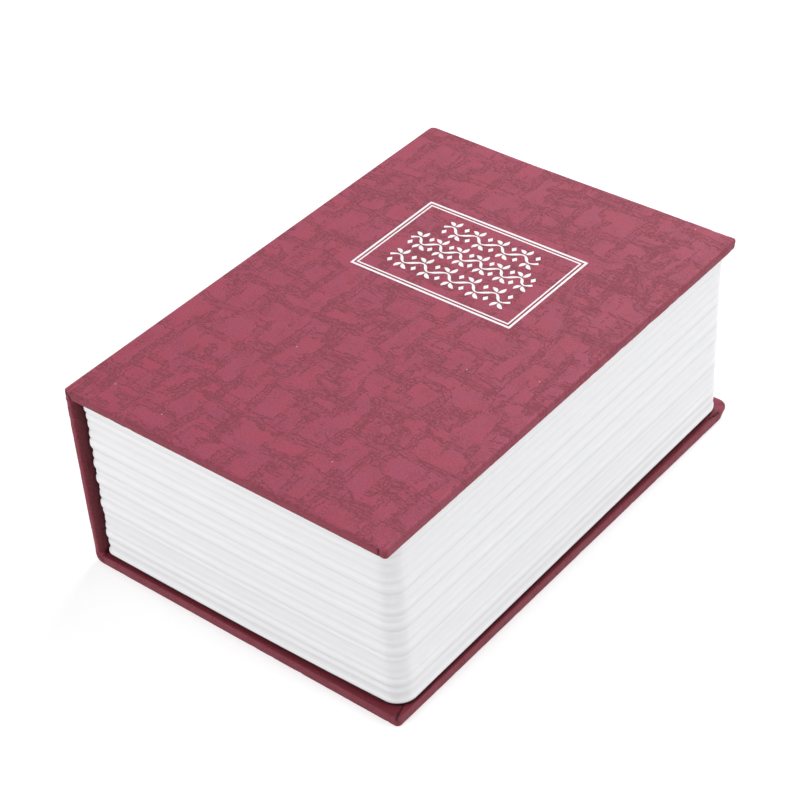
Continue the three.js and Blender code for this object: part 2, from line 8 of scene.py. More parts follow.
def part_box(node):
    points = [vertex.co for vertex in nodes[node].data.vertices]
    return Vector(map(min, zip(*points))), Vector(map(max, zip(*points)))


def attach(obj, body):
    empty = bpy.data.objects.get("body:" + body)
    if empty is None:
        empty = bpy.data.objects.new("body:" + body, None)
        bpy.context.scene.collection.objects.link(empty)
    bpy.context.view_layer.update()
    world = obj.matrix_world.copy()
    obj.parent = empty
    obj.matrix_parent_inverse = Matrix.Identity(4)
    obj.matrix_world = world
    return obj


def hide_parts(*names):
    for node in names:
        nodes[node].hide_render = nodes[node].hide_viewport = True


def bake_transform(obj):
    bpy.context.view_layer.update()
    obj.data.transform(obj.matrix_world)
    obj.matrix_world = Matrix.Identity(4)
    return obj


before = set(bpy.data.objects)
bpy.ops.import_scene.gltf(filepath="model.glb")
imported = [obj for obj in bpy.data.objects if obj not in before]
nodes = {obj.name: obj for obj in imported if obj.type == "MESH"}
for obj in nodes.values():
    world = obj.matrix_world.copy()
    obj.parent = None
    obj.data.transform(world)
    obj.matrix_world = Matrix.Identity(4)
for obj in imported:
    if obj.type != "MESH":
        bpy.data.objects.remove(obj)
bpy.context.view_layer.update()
print("frame loaded:", len(nodes), "pieces")

quarterTurn = math.pi / 2
perMetre = 1000  # patterns are drawn in millimetres

cameraSettings = {
    "azimuth": 41.326,  # degrees
    "elevation": 38.475,
    "roll": -4.144,
    "distance": 0.448947,
    "target": (-0.0048, 0.0006, 0.020),
    "lens": 97.2,  # mm, on a 36 mm sensor
    "sensor": 36.0,
}


def addCamera(settings):
    azimuth, elevation, roll = [math.radians(settings[key]) for key in ("azimuth", "elevation", "roll")]
    level = math.cos(elevation)
    back = Vector((math.sin(azimuth) * level, -math.cos(azimuth) * level, math.sin(elevation)))
    right = Vector((math.cos(azimuth), math.sin(azimuth), 0))
    up = back.cross(right)
    turnedRight = math.cos(roll) * right + math.sin(roll) * up
    turnedUp = -math.sin(roll) * right + math.cos(roll) * up
    place = Matrix((turnedRight, turnedUp, back)).transposed().to_4x4()
    place.translation = Vector(settings["target"]) + back * settings["distance"]
    data = bpy.data.cameras.new("camera")
    data.lens = settings["lens"]
    data.sensor_width = settings["sensor"]
    data.clip_start = 0.01
    data.clip_end = 50
    camera = bpy.data.objects.new("camera", data)
    camera.matrix_world = place
    bpy.context.collection.objects.link(camera)
    bpy.context.scene.camera = camera


studio = {
    "floorSize": 8.0,
    "floorColour": (0.50, 0.50, 0.50, 1),
    "floorGlow": 0.62,  # only seen by the camera and in reflections
    "skyColour": (0.97, 0.98, 1, 1),
    "skyLight": 0.26,
    "backgroundLight": 1.0,
}

lamps = {
    # where it stands, its size, its power in watts
    "keyLamp": {"place": (-0.45, -1.15, 0.58), "size": 0.9, "power": 13.8},
    "fillLamp": {"place": (1.25, 0.42, 0.48), "size": 0.8, "power": 12.9},
    "topLamp": {"place": (-0.05, 0.55, 0.62), "size": 0.45, "power": 4.0},
}


def addLamp(name, settings):
    data = bpy.data.lights.new(name, "AREA")
    data.shape = "DISK"
    data.size = settings["size"]
    data.energy = settings["power"]
    lamp = bpy.data.objects.new(name, data)
    lamp.location = settings["place"]
    lamp.rotation_euler = (-Vector(settings["place"])).to_track_quat("-Z", "Y").to_euler()
    bpy.context.collection.objects.link(lamp)


def addNode(tree, kind, inputs=None, **settings):
    made = tree.nodes.new("ShaderNode" + kind)
    for key, value in settings.items():
        setattr(made, key, value)
    for key, value in (inputs or {}).items():
        if isinstance(value, bpy.types.NodeSocket):
            tree.links.new(value, made.inputs[key])
        else:
            made.inputs[key].default_value = value
    return made


def sums(tree, operation, first, second=0.0):
    return addNode(tree, "Math", {0: first, 1: second}, operation=operation).outputs[0]


def ramp(tree, value, low, high, start=0.0, end=1.0):  # a smooth step from low to high
    inputs = {"Value": value, "From Min": low, "From Max": high, "To Min": start, "To Max": end}
    return addNode(tree, "MapRange", inputs, interpolation_type="SMOOTHSTEP").outputs["Result"]


def strongest(tree, first, *others):
    for other in others:
        first = sums(tree, "MAXIMUM", first, other)
    return first


def product(tree, first, *others):
    for other in others:
        first = sums(tree, "MULTIPLY", first, other)
    return first


def blendColours(tree, share, first, second):
    return addNode(tree, "Mix", {0: share, 6: first, 7: second}, data_type="RGBA").outputs[2]


def grain(tree, vector, scale, detail=2.0, roughness=0.5, distortion=0.0, output="Fac"):
    inputs = {"Vector": vector, "Scale": scale, "Detail": detail, "Roughness": roughness, "Distortion": distortion}
    return addNode(tree, "TexNoise", inputs).outputs[output]


def newMaterial(name):
    material = bpy.data.materials.new(name)
    material.use_nodes = True
    material.node_tree.nodes.clear()
    return material, material.node_tree


def millimetres(tree):  # the piece's own coordinates
    place = addNode(tree, "TexCoord").outputs["Object"]
    return addNode(tree, "VectorMath", {0: place, "Scale": perMetre}, operation="SCALE").outputs[0]


def finishMaterial(tree, inputs, height, bumpDepth):
    bump = addNode(tree, "Bump", {"Height": height, "Strength": 1.0, "Distance": bumpDepth})
    shader = addNode(tree, "BsdfPrincipled", {**inputs, "Normal": bump.outputs["Normal"]})
    addNode(tree, "OutputMaterial", {"Surface": shader.outputs[0]})


# The covering paper: a leather print on a satin sheet

paperLook = {
    "colour": (0.330, 0.0500, 0.0870, 1),
    "coolColour": (0.308, 0.0530, 0.0950, 1),
    "printColour": (0.212, 0.0390, 0.0600, 1),
    "frontEdgeShadeColour": (0.228, 0.0350, 0.0580, 1),  # painted shade where the sheet goes round the front board's edge; the next two for the back board and the spine
    "backEdgeShadeColour": (0.166, 0.0245, 0.0400, 1),
    "spineEdgeShadeColour": (0.205, 0.0275, 0.0470, 1),
    "turnInShadeColour": (0.150, 0.0152, 0.0250, 1),  # painted shade on the covers' inside; the next one on the spine's inside
    "spineTurnInShadeColour": (0.102, 0.0102, 0.0165, 1),
    "turnInLightColour": (0.270, 0.0450, 0.0750, 1),  # painted light by the back cover's far end
    "shadeColour": (0.020, 0.0040, 0.0060, 1),  # in deep folds and holes
    "fleckColour": (0.62, 0.50, 0.52, 1),
    "roughness": 0.50,
    "printRoughness": 0.62,
    "grainDepth": 0.000055,
    # all below in mm on the flat sheet
    "foldAt": (2.30, 2.75),  # where the turn-in's painted shade starts and is full, from the edge of the open face
    "spineFoldSooner": (1.00, 1.05),
    "farLightFrom": (110.0, 112.5),  # where the painted light at the far end starts and is full, from the sheet's tail
    "slowWander": (0.06, 5.5),  # how often a line turns, per mm, and how far it strays
    "raggedWander": (0.85, 2.0),
    "fineWander": (0.9, 1.1),
    "brickUnit": 16.0,  # a band beside the bricks' borders is an eighth of this wide
    "lyingBrick": (19.0, 8.0),
    "standingBrick": (16.0, 7.0),
    "smallBrick": (8.5, 4.6),
    "rungCell": (3.4, 0.78),
    "threadCell": (9.0, 0.85),
    "speckSpread": 11.0,  # between the places where a white fleck may be
    # where in the band the paired lines are, from its inner side at 0 to the border at 1, and how wide
    "pairLevel": 0.60,
    "pairWidth": 0.17,
}


def thinLines(tree, field, level, width):  # 1 where the field is near the level
    away = sums(tree, "ABSOLUTE", sums(tree, "SUBTRACT", field, level))
    return ramp(tree, away, width * 0.4, width, 1.0, 0.0)


def wandering(tree, vector, scale, reach, detail=2.0, roughness=0.5):
    colour = grain(tree, vector, scale, detail, roughness, output="Color")
    centred = addNode(tree, "VectorMath", {0: colour, 1: (0.5, 0.5, 0.5)}, operation="SUBTRACT").outputs[0]
    inputs = {0: centred, 1: (reach, reach, 0.0), 2: vector}
    return addNode(tree, "VectorMath", inputs, operation="MULTIPLY_ADD").outputs[0]


def stretched(tree, vector, along, across, shift=0.0):
    inputs = {"Vector": vector, "Scale": (1 / along, 1 / across, 1), "Location": (shift, shift * 0.7, 0)}
    return addNode(tree, "Mapping", inputs).outputs[0]


def noiseField(tree, vector, along, across, shift=0.0, detail=1.5, roughness=0.5):
    return grain(tree, stretched(tree, vector, along, across, shift), 1.0, detail, roughness)


def brickwork(tree, vector, look, size, turn, shift):  # 1 on the bricks' borders, 0 at some distance inside
    place = {"Vector": vector, "Rotation": (0, 0, turn), "Location": (shift, shift * 0.6, 0)}
    unit = look["brickUnit"]
    inputs = {
        "Vector": addNode(tree, "Mapping", place).outputs[0],
        "Scale": 1 / unit,
        "Mortar Size": 0.125,
        "Mortar Smooth": 1.0,
        "Brick Width": size[0] / unit,
        "Row Height": size[1] / unit,
    }
    made = addNode(tree, "TexBrick", inputs, offset=0.37, offset_frequency=2, squash=0.62, squash_frequency=3)
    return made.outputs["Fac"]


def smallCells(tree, vector, size, low, high):  # the borders of small round cells
    inputs = {"Vector": stretched(tree, vector, *size), "Scale": 1.0, "Randomness": 0.85}
    settings = {"feature": "DISTANCE_TO_EDGE", "voronoi_dimensions": "2D"}
    return ramp(tree, addNode(tree, "TexVoronoi", inputs, **settings).outputs["Distance"], low, high, 1.0, 0.0)


# The print: bricks lying and standing, bordered by paired ragged lines, with rungs between these
def leatherPrint(tree, place, look):
    warped = wandering(tree, place, *look["slowWander"], 1.5)
    ragged = wandering(tree, warped, *look["raggedWander"], 2.0, 0.6)
    fine = wandering(tree, warped, *look["fineWander"])

    def mask(along, across, shift, low, high):  # patches of this size in mm, where a noise passes low to high
        return ramp(tree, noiseField(tree, place, along, across, shift), low, high)

    level, width = look["pairLevel"], look["pairWidth"]
    layout = noiseField(tree, place, 11.0, 11.0, 2.0, 1.0)
    lyingPart = ramp(tree, layout, 0.47, 0.48)
    standingPart = ramp(tree, layout, 0.52, 0.53, 1.0, 0.0)
    smallPart = mask(13.0, 10.0, 41.0, 0.56, 0.57)
    rungs = smallCells(tree, fine, look["rungCell"], 0.06, 0.16)
    threads = smallCells(tree, fine, look["threadCell"], 0.05, 0.15)
    found, stains = [], []
    for size, turn, shift, part, inside in (
        (look["lyingBrick"], 0.0, 3.0, lyingPart, threads),
        (look["standingBrick"], quarterTurn, 11.0, standingPart, rungs),
        (look["smallBrick"], 0.0, 23.0, smallPart, rungs),
    ):
        border = brickwork(tree, ragged, look, size, turn, shift)
        band = product(tree, ramp(tree, border, level - 0.05, level + 0.05), part)
        pair = thinLines(tree, border, level, width)
        middle = ramp(tree, border, 0.975, 0.995)
        found += [
            product(tree, pair, part, mask(6.0, 6.0, shift + 22.0, 0.39, 0.42)),
            product(tree, middle, part, mask(6.0, 6.0, shift + 6.0, 0.45, 0.48)),
            product(tree, inside, band, mask(7.0, 7.0, shift + 14.0, 0.44, 0.46)),
        ]
        stains.append(band)
    curls = thinLines(tree, grain(tree, place, 1.1, 2, 0.5, 0.9), 0.5, 0.06)
    found.append(product(tree, curls, mask(6.0, 6.0, 1.0, 0.45, 0.55), 0.45))
    found.append(product(tree, mask(2.4, 12.0, 51.0, 0.61, 0.62), rungs))  # ladders outside the bands
    broken = ramp(tree, noiseField(tree, place, 1.1, 1.1, 0.0, 3, 0.6), 0.34, 0.50, 0.45, 1.0)
    stain = product(tree, strongest(tree, *stains), mask(2.2, 2.2, 12.0, 0.46, 0.60), 0.28)
    return strongest(tree, product(tree, strongest(tree, *found), broken), stain)


# How far a spot is beyond the open faces, which end where the sheet goes round the boards' edges
def beyondFace(tree, split, openFace):
    along, across = split.outputs["X"], split.outputs["Y"]
    return strongest(
        tree,
        sums(tree, "SUBTRACT", openFace["tail"], across),
        sums(tree, "SUBTRACT", across, openFace["head"]),
        sums(tree, "SUBTRACT", along, openFace["fore"]),
        sums(tree, "SUBTRACT", openFace["backFore"], along),
    )


def coveringPaper(look, openFace):
    material, tree = newMaterial("coveringPaper")
    place = addNode(tree, "UVMap", uv_map="sheet").outputs["UV"]
    printed = leatherPrint(tree, place, look)
    cloud = ramp(tree, grain(tree, place, 0.22, 4, 0.6), 0.36, 0.64)
    ground = blendColours(tree, cloud, look["colour"], look["coolColour"])
    colour = blendColours(tree, printed, ground, look["printColour"])

    split = addNode(tree, "SeparateXYZ", {0: place})
    along = split.outputs["X"]
    beyond = beyondFace(tree, split, openFace)
    onBack = ramp(tree, along, -0.2, 0.2, 1.0, 0.0)
    onSpine = product(tree, onBack, ramp(tree, along, openFace["spineEnd"] - 1.0, openFace["spineEnd"] + 1.0))
    # painted shade on the bands where the sheet goes round the boards' edges, darker on the back and the spine
    edgeShadeColour = blendColours(tree, onBack, look["frontEdgeShadeColour"], look["backEdgeShadeColour"])
    edgeShadeColour = blendColours(tree, onSpine, edgeShadeColour, look["spineEdgeShadeColour"])
    colour = blendColours(tree, ramp(tree, beyond, 0.1, 0.8, 0.0, 0.85), colour, edgeShadeColour)
    # painted shade on the turn-ins inside the covers, darkest on the spine
    insideShadeColour = blendColours(tree, onSpine, look["turnInShadeColour"], look["spineTurnInShadeColour"])
    foldStart, foldEnd = [
        sums(tree, "SUBTRACT", fold, product(tree, onSpine, sooner))
        for fold, sooner in zip(look["foldAt"], look["spineFoldSooner"])
    ]
    colour = blendColours(tree, ramp(tree, beyond, foldStart, foldEnd, 0.0, 0.9), colour, insideShadeColour)
    # painted light on the back cover's turn-in towards its far end
    farEnd = ramp(tree, split.outputs["Y"], *look["farLightFrom"], 0.0, 0.85)
    farEndLight = product(tree, farEnd, onBack, ramp(tree, beyond, 2.0, 2.5))
    colour = blendColours(tree, farEndLight, colour, look["turnInLightColour"])

    speck = ramp(tree, grain(tree, place, 2.4, 3, 0.75), 0.30, 0.72, 0.84, 1.16)
    colour = addNode(tree, "VectorMath", {0: colour, "Scale": speck}, operation="SCALE").outputs[0]
    shade = addNode(tree, "Attribute", attribute_name="shade").outputs["Fac"]
    colour = blendColours(tree, ramp(tree, shade, 0.0, 1.0), colour, look["shadeColour"])
    inputs = {"Vector": place, "Scale": 1 / look["speckSpread"], "Randomness": 1.0}
    flecks = addNode(tree, "TexVoronoi", inputs, voronoi_dimensions="2D")
    chosen = ramp(tree, addNode(tree, "SeparateColor", {0: flecks.outputs["Color"]}).outputs[2], 0.88, 0.90)
    fleck = product(tree, ramp(tree, flecks.outputs["Distance"], 0.006, 0.014, 1.0, 0.0), chosen)
    colour = blendColours(tree, fleck, colour, look["fleckColour"])

    height = sums(tree, "SUBTRACT", grain(tree, place, 2.4, 3, 0.7), product(tree, printed, 0.8))
    inputs = {
        "Base Color": colour,
        "Roughness": ramp(tree, printed, 0.0, 1.0, look["roughness"], look["printRoughness"]),
        "Specular IOR Level": 0.24,
    }
    finishMaterial(tree, inputs, height, look["grainDepth"])
    return material


def meshObject(name, bm, material):
    mesh = bpy.data.meshes.new(name)
    bm.to_mesh(mesh)
    bm.free()
    mesh.materials.append(material)
    made = bpy.data.objects.new(name, mesh)
    bpy.context.collection.objects.link(made)
    return made


def newPiece(name, bm, material, body, replaced, sharpAngle):
    bm.normal_update()
    for face in bm.faces:
        face.smooth = True
    for edge in bm.edges:
        edge.smooth = edge.calc_face_angle(0.0) <= math.radians(sharpAngle)
    piece = meshObject(name, bm, material)
    if body:
        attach(piece, body)
    if replaced:
        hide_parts(*replaced)
    return piece


def pulledOut(bm, edges):  # a row of edges drawn out: its new points and its new edges
    pulled = bmesh.ops.extrude_edge_only(bm, edges=edges)["geom"]
    fresh = {element for element in pulled if isinstance(element, bmesh.types.BMVert)}
    return fresh, [e for e in pulled if isinstance(e, bmesh.types.BMEdge) and set(e.verts) <= fresh]


def smoothly(value, low, high):
    share = min(max((value - low) / (high - low), 0.0), 1.0)
    return share * share * (3 - 2 * share)


# The covers' paper

sheet = {
    "paper": 0.00025,
    "turnIn": 0.012,
    "outerEdge": 0.00045,  # radii of the paper's bends round a board's edge
    "innerEdge": 0.00040,
    "near": 0.0055,  # the mesh is fine this near to the corners
    "fine": 0.00016,
    "coarse": 0.0008,
    "fanStep": 0.0002,
    "arcSteps": 8,
    "outerSteps": 5,
    "bandSteps": 7,
    "innerSteps": 4,
    # how far from the edge the mesh has a ring, on the open face and on the turn-in
    "faceRings": (0.0026, 0.0016, 0.00065),
    "turnInRings": (0.65, 0.8, 1.0, 1.2, 1.4, 1.7, 2.0, 2.4, 2.9, 3.5, 4.5, 6.0, 9.0),  # mm
    "headRound": 0.0008,  # the front cover's corner at the spine's head
    "drawnReach": 0.0045,  # how far from the edge the drawn-in corner still moves the sheet
    "roundReach": 0.0011,  # the same for the rounded corners at the spine
    "drawnFade": (0.0006, 0.0042),  # how far from the corner the drawing-in starts to fade and is gone
    "uneven": 0.000022,
    "unevenScales": (260, 900),  # a slow and a quick unevenness, per metre
    "dent": 0.00007,
    "dentLength": 0.0024,
}

frontLow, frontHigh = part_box("front_wrap")
caseLow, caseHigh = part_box("case_wrap")
coverThick = frontHigh.z - frontLow.z
hingeRise = frontLow.z - caseHigh.z

# In both sheets: bend is the one at the spine, after a straight leg, and how square it is, from a circle at 2
# upwards. reach is how far the board stands out past its true rectangle, at the tail and the head of the fore edge.
# corners has the radii, and how far the far corner is drawn in on one face. marks are pressed lines and small
# hollows, each with its ends, its width and its depth in mm (a ridge has a negative one) and its painted shade.
frontSheet = {
    "bend": {"leg": 0.0, "square": 9.0, "side": 1, "level": frontLow.z},
    "reach": {"all": 0.00012, "tail": 0.00058, "head": 0.00010, "headRise": 0.00030, "spineRise": 0.00040},
    "corners": {"tail": 0.0008, "head": 0.0007, "drawnIn": 0.0002, "drawnFace": "inner", "spineRound": 0.0},
    "start": 0.0,  # where it starts on the whole flat sheet, which is laid out from the hinge
    "seed": (3, 7, 1),
    "marks": [
        ((-39.5, -57.6, 44.9), (-38.3, -57.6, 43.2), 0.26, 0.34, 1.2),
        ((38.7, -57.6, 44.6), (38.8, -57.6, 43.0), 0.16, 0.30, 0.8),
        ((37.4, -57.5, 44.9), (38.9, -57.5, 44.8), 0.25, 0.16, 0.3),
        ((-37.8, -57.5, 44.9), (-34.4, -57.5, 44.9), 0.30, 0.12, 0.45),
        ((-33.0, -57.6, 44.7), (38.0, -57.6, 44.8), 0.16, 0.06, 0.22),
        ((40.2, -56.0, 44.7), (39.9, 54.0, 44.7), 0.22, 0.10, 0.30),
        ((39.8, 54.9, 44.8), (38.8, 57.3, 43.2), 0.20, 0.12, 0.2),
    ],
}
caseSheet = {
    "bend": {"leg": caseHigh.z - coverThick, "square": 2.8, "side": -1, "level": coverThick},
    "reach": {"all": 0.00012, "tail": 0.00030, "head": 0.00050, "headRise": 0.0, "spineRise": 0.0},
    "corners": {"tail": 0.0010, "head": 0.0026, "drawnIn": 0.0012, "drawnFace": "outer", "spineRound": 0.0008},
    "start": hingeRise,
    "seed": (11, 2, 5),
    "marks": [
        ((-39.5, -57.6, 2.9), (-38.3, -57.6, 1.7), 0.18, 0.26, 0.5),
        ((-38.3, -57.6, 1.7), (-37.5, -57.6, 1.2), 0.20, 0.24, 0.7),
        ((-39.2, -57.6, 40.9), (-38.2, -57.6, 39.9), 0.20, 0.18, 0.5),
        ((-38.2, -57.6, 39.9), (-37.7, -57.6, 40.6), 0.20, 0.18, 0.4),
        ((-38.9, -57.6, 41.7), (-38.3, -57.6, 40.6), 0.30, -0.16, 0.0),
        ((39.8, -57.7, 1.4), (39.6, -57.3, 2.2), 0.19, 0.18, 1.0),
        ((39.6, -57.3, 2.2), (39.1, -56.2, 2.3), 0.19, 0.22, 1.1),
        ((39.1, -56.2, 2.3), (38.4, -53.2, 2.3), 0.19, 0.18, 0.9),
        ((39.5, -56.0, 2.3), (38.8, -53.6, 2.3), 0.30, -0.12, 0.0),
        ((39.9, 51.9, 2.3), (40.1, 53.2, 2.2), 0.38, 0.42, 1.0),
        ((39.4, 50.6, 2.3), (39.9, 51.9, 2.3), 0.28, 0.26, 0.7),
        ((40.0, 51.0, 2.1), (40.1, 51.4, 2.0), 0.25, -0.14, 0.0),
    ],
}


def edgeStations(length):  # places along an edge, closer together near both ends
    near = sheet["near"]
    count = math.ceil(near / sheet["fine"])
    ends = [near * i / count for i in range(count)]
    steps = max(1, round((length - 2 * near) / sheet["coarse"]))
    middle = [near + (length - 2 * near) * i / steps for i in range(steps + 1)]
    return ends + middle + [length - place for place in reversed(ends)]


def bendReach(turn, square):
    return (math.cos(turn) ** square + math.sin(turn) ** square) ** (-1 / square)


def fanLength(bend):  # along the outside of the bend at the spine
    steps = 64
    points = []
    for i in range(steps + 1):
        turn = quarterTurn * i / steps
        reach = coverThick * bendReach(turn, bend["square"])
        points.append(Vector((reach * math.cos(turn), reach * math.sin(turn))))
    return sum((b - a).length for a, b in zip(points, points[1:]))


# From the flat sheet (along it from the hinge, depth below its face) to its place on the boards
def bent(along, depth, bend, fan):
    inner = coverThick - depth
    if along < bend["leg"]:
        return depth, bend["level"] - bend["side"] * (bend["leg"] - along)
    if along < bend["leg"] + fan:
        turn = quarterTurn * (along - bend["leg"]) / fan
        reach = inner * bendReach(turn, bend["square"])
        return coverThick - reach * math.cos(turn), bend["level"] + bend["side"] * reach * math.sin(turn)
    return coverThick + along - bend["leg"] - fan, bend["level"] + bend["side"] * inner


# A point of the sheet's outline, which is open at the hinge, at some distance inside it
def outlinePoint(sample, inset, length, width, corners):
    side, place = sample
    if side == "tail":
        return min(place, length - inset), inset
    if side == "head":
        return min(place, length - inset), width - inset
    if side == "fore":
        return length - inset, min(max(place, inset), width - inset)
    radius = corners["tail" if side == "tailCorner" else "head"]
    reach = max(radius - inset, 0.0)
    centre = max(radius, inset)
    acrossCentre = centre if side == "tailCorner" else width - centre
    return length - centre + reach * math.cos(place), acrossCentre + reach * math.sin(place)


def outerArc():  # inset and depth of the rings round the board's outer edge
    outer, steps = sheet["outerEdge"], sheet["outerSteps"]
    turns = [quarterTurn * i / steps for i in range(steps + 1)]
    return [(outer * (1 - math.sin(turn)), outer * (1 - math.cos(turn))) for turn in turns]


def sheetProfile():  # inset and depth of each ring, from the outer face round the edge to the turn-in's end
    outer, inner = sheet["outerEdge"], sheet["innerEdge"]
    band, steps = coverThick - outer - inner, sheet["bandSteps"]
    rings = [(inset, 0.0) for inset in sheet["faceRings"]] + outerArc()
    rings += [(0.0, outer + band * i / steps) for i in range(1, steps)]
    for i in range(sheet["innerSteps"] + 1):
        turn = quarterTurn * i / sheet["innerSteps"]
        rings.append((inner * (1 - math.cos(turn)), coverThick - inner * (1 - math.sin(turn))))
    rings += [(inset / perMetre, coverThick) for inset in sheet["turnInRings"]]
    return rings + [(sheet["turnIn"], coverThick)]


def coverSheet(shape):
    bend, corners = shape["bend"], shape["corners"]
    fan = fanLength(bend)
    width = caseHigh.y - caseLow.y
    flat = caseHigh.x - caseLow.x - coverThick
    length = bend["leg"] + fan + flat
    fanCount = round(fan / sheet["fanStep"])
    fanStops = [bend["leg"] + fan * i / fanCount for i in range(fanCount)]
    legStops = edgeStations(bend["leg"])[:-1] if bend["leg"] else []

    def flatStops(radius):
        return legStops + fanStops + [bend["leg"] + fan + stop for stop in edgeStations(flat - radius)[:-1]]

    steps = sheet["arcSteps"]
    between = width - corners["tail"] - corners["head"]
    samples = [("tail", stop) for stop in flatStops(corners["tail"])]
    samples += [("tailCorner", quarterTurn * (i / steps - 1)) for i in range(steps)]
    samples += [("fore", corners["tail"] + stop) for stop in edgeStations(between)[:-1]]
    samples += [("headCorner", quarterTurn * i / steps) for i in range(steps)]
    samples += [("head", stop) for stop in reversed(flatStops(corners["head"]) + [length - corners["head"]])]

    bm = bmesh.new()
    sampleLayer = bm.verts.layers.int.new("sample")
    looseLayer = bm.verts.layers.float.new("loose")
    spreadLayer = bm.verts.layers.float_vector.new("spread")
    rings = sheetProfile()
    firstInset = rings[0][0]

    def drawnIn(along, across, inset, depth):  # the far corner, and the rounding of those at the spine
        away = max((Vector((along, across)) - Vector((length, width))).length - inset * 1.4, 0.0)
        share = depth / coverThick if corners["drawnFace"] == "inner" else 1 - depth / coverThick
        pull = corners["drawnIn"] * (1 - smoothly(away, *sheet["drawnFade"])) * smoothly(share, 0.15, 1.1)
        pull *= (1 - inset / sheet["drawnReach"]) / math.sqrt(2)
        along, across = along - pull, across - pull
        if along < bend["leg"] and inset < sheet["roundReach"]:
            sign = 1 if across < width / 2 else -1
            across += sign * corners["spineRound"] * smoothly(depth / coverThick, 0.45, 1.1)
        return along, across

    def settle(vert, inset, depth, travel, loose):
        side, place = sample = samples[vert[sampleLayer]]
        along, across = outlinePoint(sample, inset, length, width, corners)
        if inset < sheet["drawnReach"]:
            along, across = drawnIn(along, across, inset, depth)
        vert.co = (along, across, -depth)
        vert[looseLayer] = loose
        # where the spot lies on the sheet before it is folded round the edge
        offset = travel - (firstInset - inset)
        straight = {"tail": (0, -1), "head": (0, 1), "fore": (1, 0)}
        outward = straight.get(side) or (math.cos(place), math.sin(place))
        vert[spreadLayer] = (along + outward[0] * offset, across + outward[1] * offset, 0)

    ring = []
    for index in range(len(samples)):
        vert = bm.verts.new()
        vert[sampleLayer] = index
        ring.append(vert)
    for vert in ring:
        settle(vert, *rings[0], 0.0, 0.0)
    bm.faces.new(ring)
    edges = [bm.edges.get(pair) for pair in zip(ring, ring[1:])]
    travel = 0.0
    for (lastInset, lastDepth), (inset, depth) in zip(rings, rings[1:]):
        travel += math.hypot(inset - lastInset, depth - lastDepth)
        fresh, edges = pulledOut(bm, edges)
        for vert in fresh:
            settle(vert, inset, depth, travel, 1.0 if depth > 0 else smoothly(inset, 0.0026, 0.0008))
    for stop in [*fanStops, bend["leg"] + fan]:
        everything = bm.verts[:] + bm.edges[:] + bm.faces[:]
        bmesh.ops.bisect_plane(bm, geom=everything, dist=1e-6, plane_co=(stop, 0, 0), plane_no=(1, 0, 0))

    uvs = bm.loops.layers.uv.new("sheet")
    for face in bm.faces:
        for loop in face.loops:
            spread = loop.vert[spreadLayer]
            # a cut across the open face has no place of its own yet
            spot = spread if spread.length > 0 else loop.vert.co
            loop[uvs].uv = (bend["side"] * (shape["start"] + spot[0]) * perMetre, spot[1] * perMetre)
    for vert in bm.verts:
        along, across, down = vert.co
        x, z = bent(along, -down, bend, fan)
        vert.co = reachedOut(Vector((caseLow.x + x, caseLow.y + across, z)), shape["reach"])
    bmesh.ops.remove_doubles(bm, verts=bm.verts[:], dist=2e-6)
    bmesh.ops.dissolve_degenerate(bm, edges=bm.edges[:], dist=1e-6)
    bmesh.ops.recalc_face_normals(bm, faces=bm.faces[:])
    return bm, looseLayer


def reachedOut(spot, reach):  # real boards are never quite square
    half = (caseHigh - caseLow) / 2
    towardsFore = (spot.x / half.x + 1) / 2
    towardsHead = (spot.y / half.y + 1) / 2
    grown = reach["tail"] * (1 - towardsHead) + reach["head"] * towardsHead
    rise = reach["headRise"] * smoothly(towardsHead, 0.5, 1.0) * smoothly(towardsFore, 0.3, 1.0)
    atSpine = smoothly(towardsHead, 0.8, 1.0) * (1 - smoothly(towardsFore, 0.04, 0.35))
    rise += reach["spineRise"] * atSpine * smoothly(spot.z, frontLow.z, frontLow.z + 0.0012)
    spot.x += spot.x / half.x * reach["all"] + grown * towardsFore
    spot.y += spot.y / half.y * reach["all"] + rise
    # the front cover's corner at the spine's head is rounded off near its outer face
    radius = sheet["headRound"] * smoothly(spot.z, frontLow.z + 0.0004, frontHigh.z - 0.0006)
    centre = Vector((-half.x + radius, half.y - radius))
    corner = Vector((spot.x, spot.y)) - centre
    if radius > 0 and corner.x < 0 and corner.y > 0 and corner.length > radius:
        spot.x, spot.y = centre + corner.normalized() * radius
    return spot


def distanceToLine(point, start, end):
    line = end - start
    share = min(max((point - start).dot(line) / line.length_squared, 0.0), 1.0)
    return (point - start - line * share).length


def pressPaper(bm, looseLayer, shape):
    bm.normal_update()
    shadeLayer = bm.verts.layers.float.new("shade")
    seed = Vector(shape["seed"])
    slowScale, quickScale = sheet["unevenScales"]
    marks = [
        (Vector(start) / perMetre, Vector(end) / perMetre, width / perMetre, pressed / perMetre, dark)
        for start, end, width, pressed, dark in shape["marks"]
    ]
    moves = {}
    for vert in bm.verts:
        loose = vert[looseLayer]
        if loose <= 0:
            continue
        slow = noise.noise(vert.co * slowScale + seed)
        quick = noise.noise(vert.co * quickScale - seed)
        depth = sheet["uneven"] * (slow + 0.4 * quick)
        dents = noise.noise(vert.co / sheet["dentLength"] + seed * 2)
        depth += sheet["dent"] * smoothly(dents, 0.22, 0.60)
        shade = 0.0
        for start, end, width, pressed, dark in marks:
            away = distanceToLine(vert.co, start, end)
            if away < width * 3:
                nearness = math.exp(-((away / width) ** 2))
                depth += pressed * nearness
                # painted shade in the mark's crease or hollow
                shade += dark * nearness
        moves[vert] = -vert.normal * depth * loose
        vert[shadeLayer] = min(max(shade, 0.0), 1.0)
    for vert, move in moves.items():
        vert.co += move


def thicken(piece):
    solid = piece.modifiers.new("thickness", "SOLIDIFY")
    solid.thickness = sheet["paper"]
    solid.offset = -1


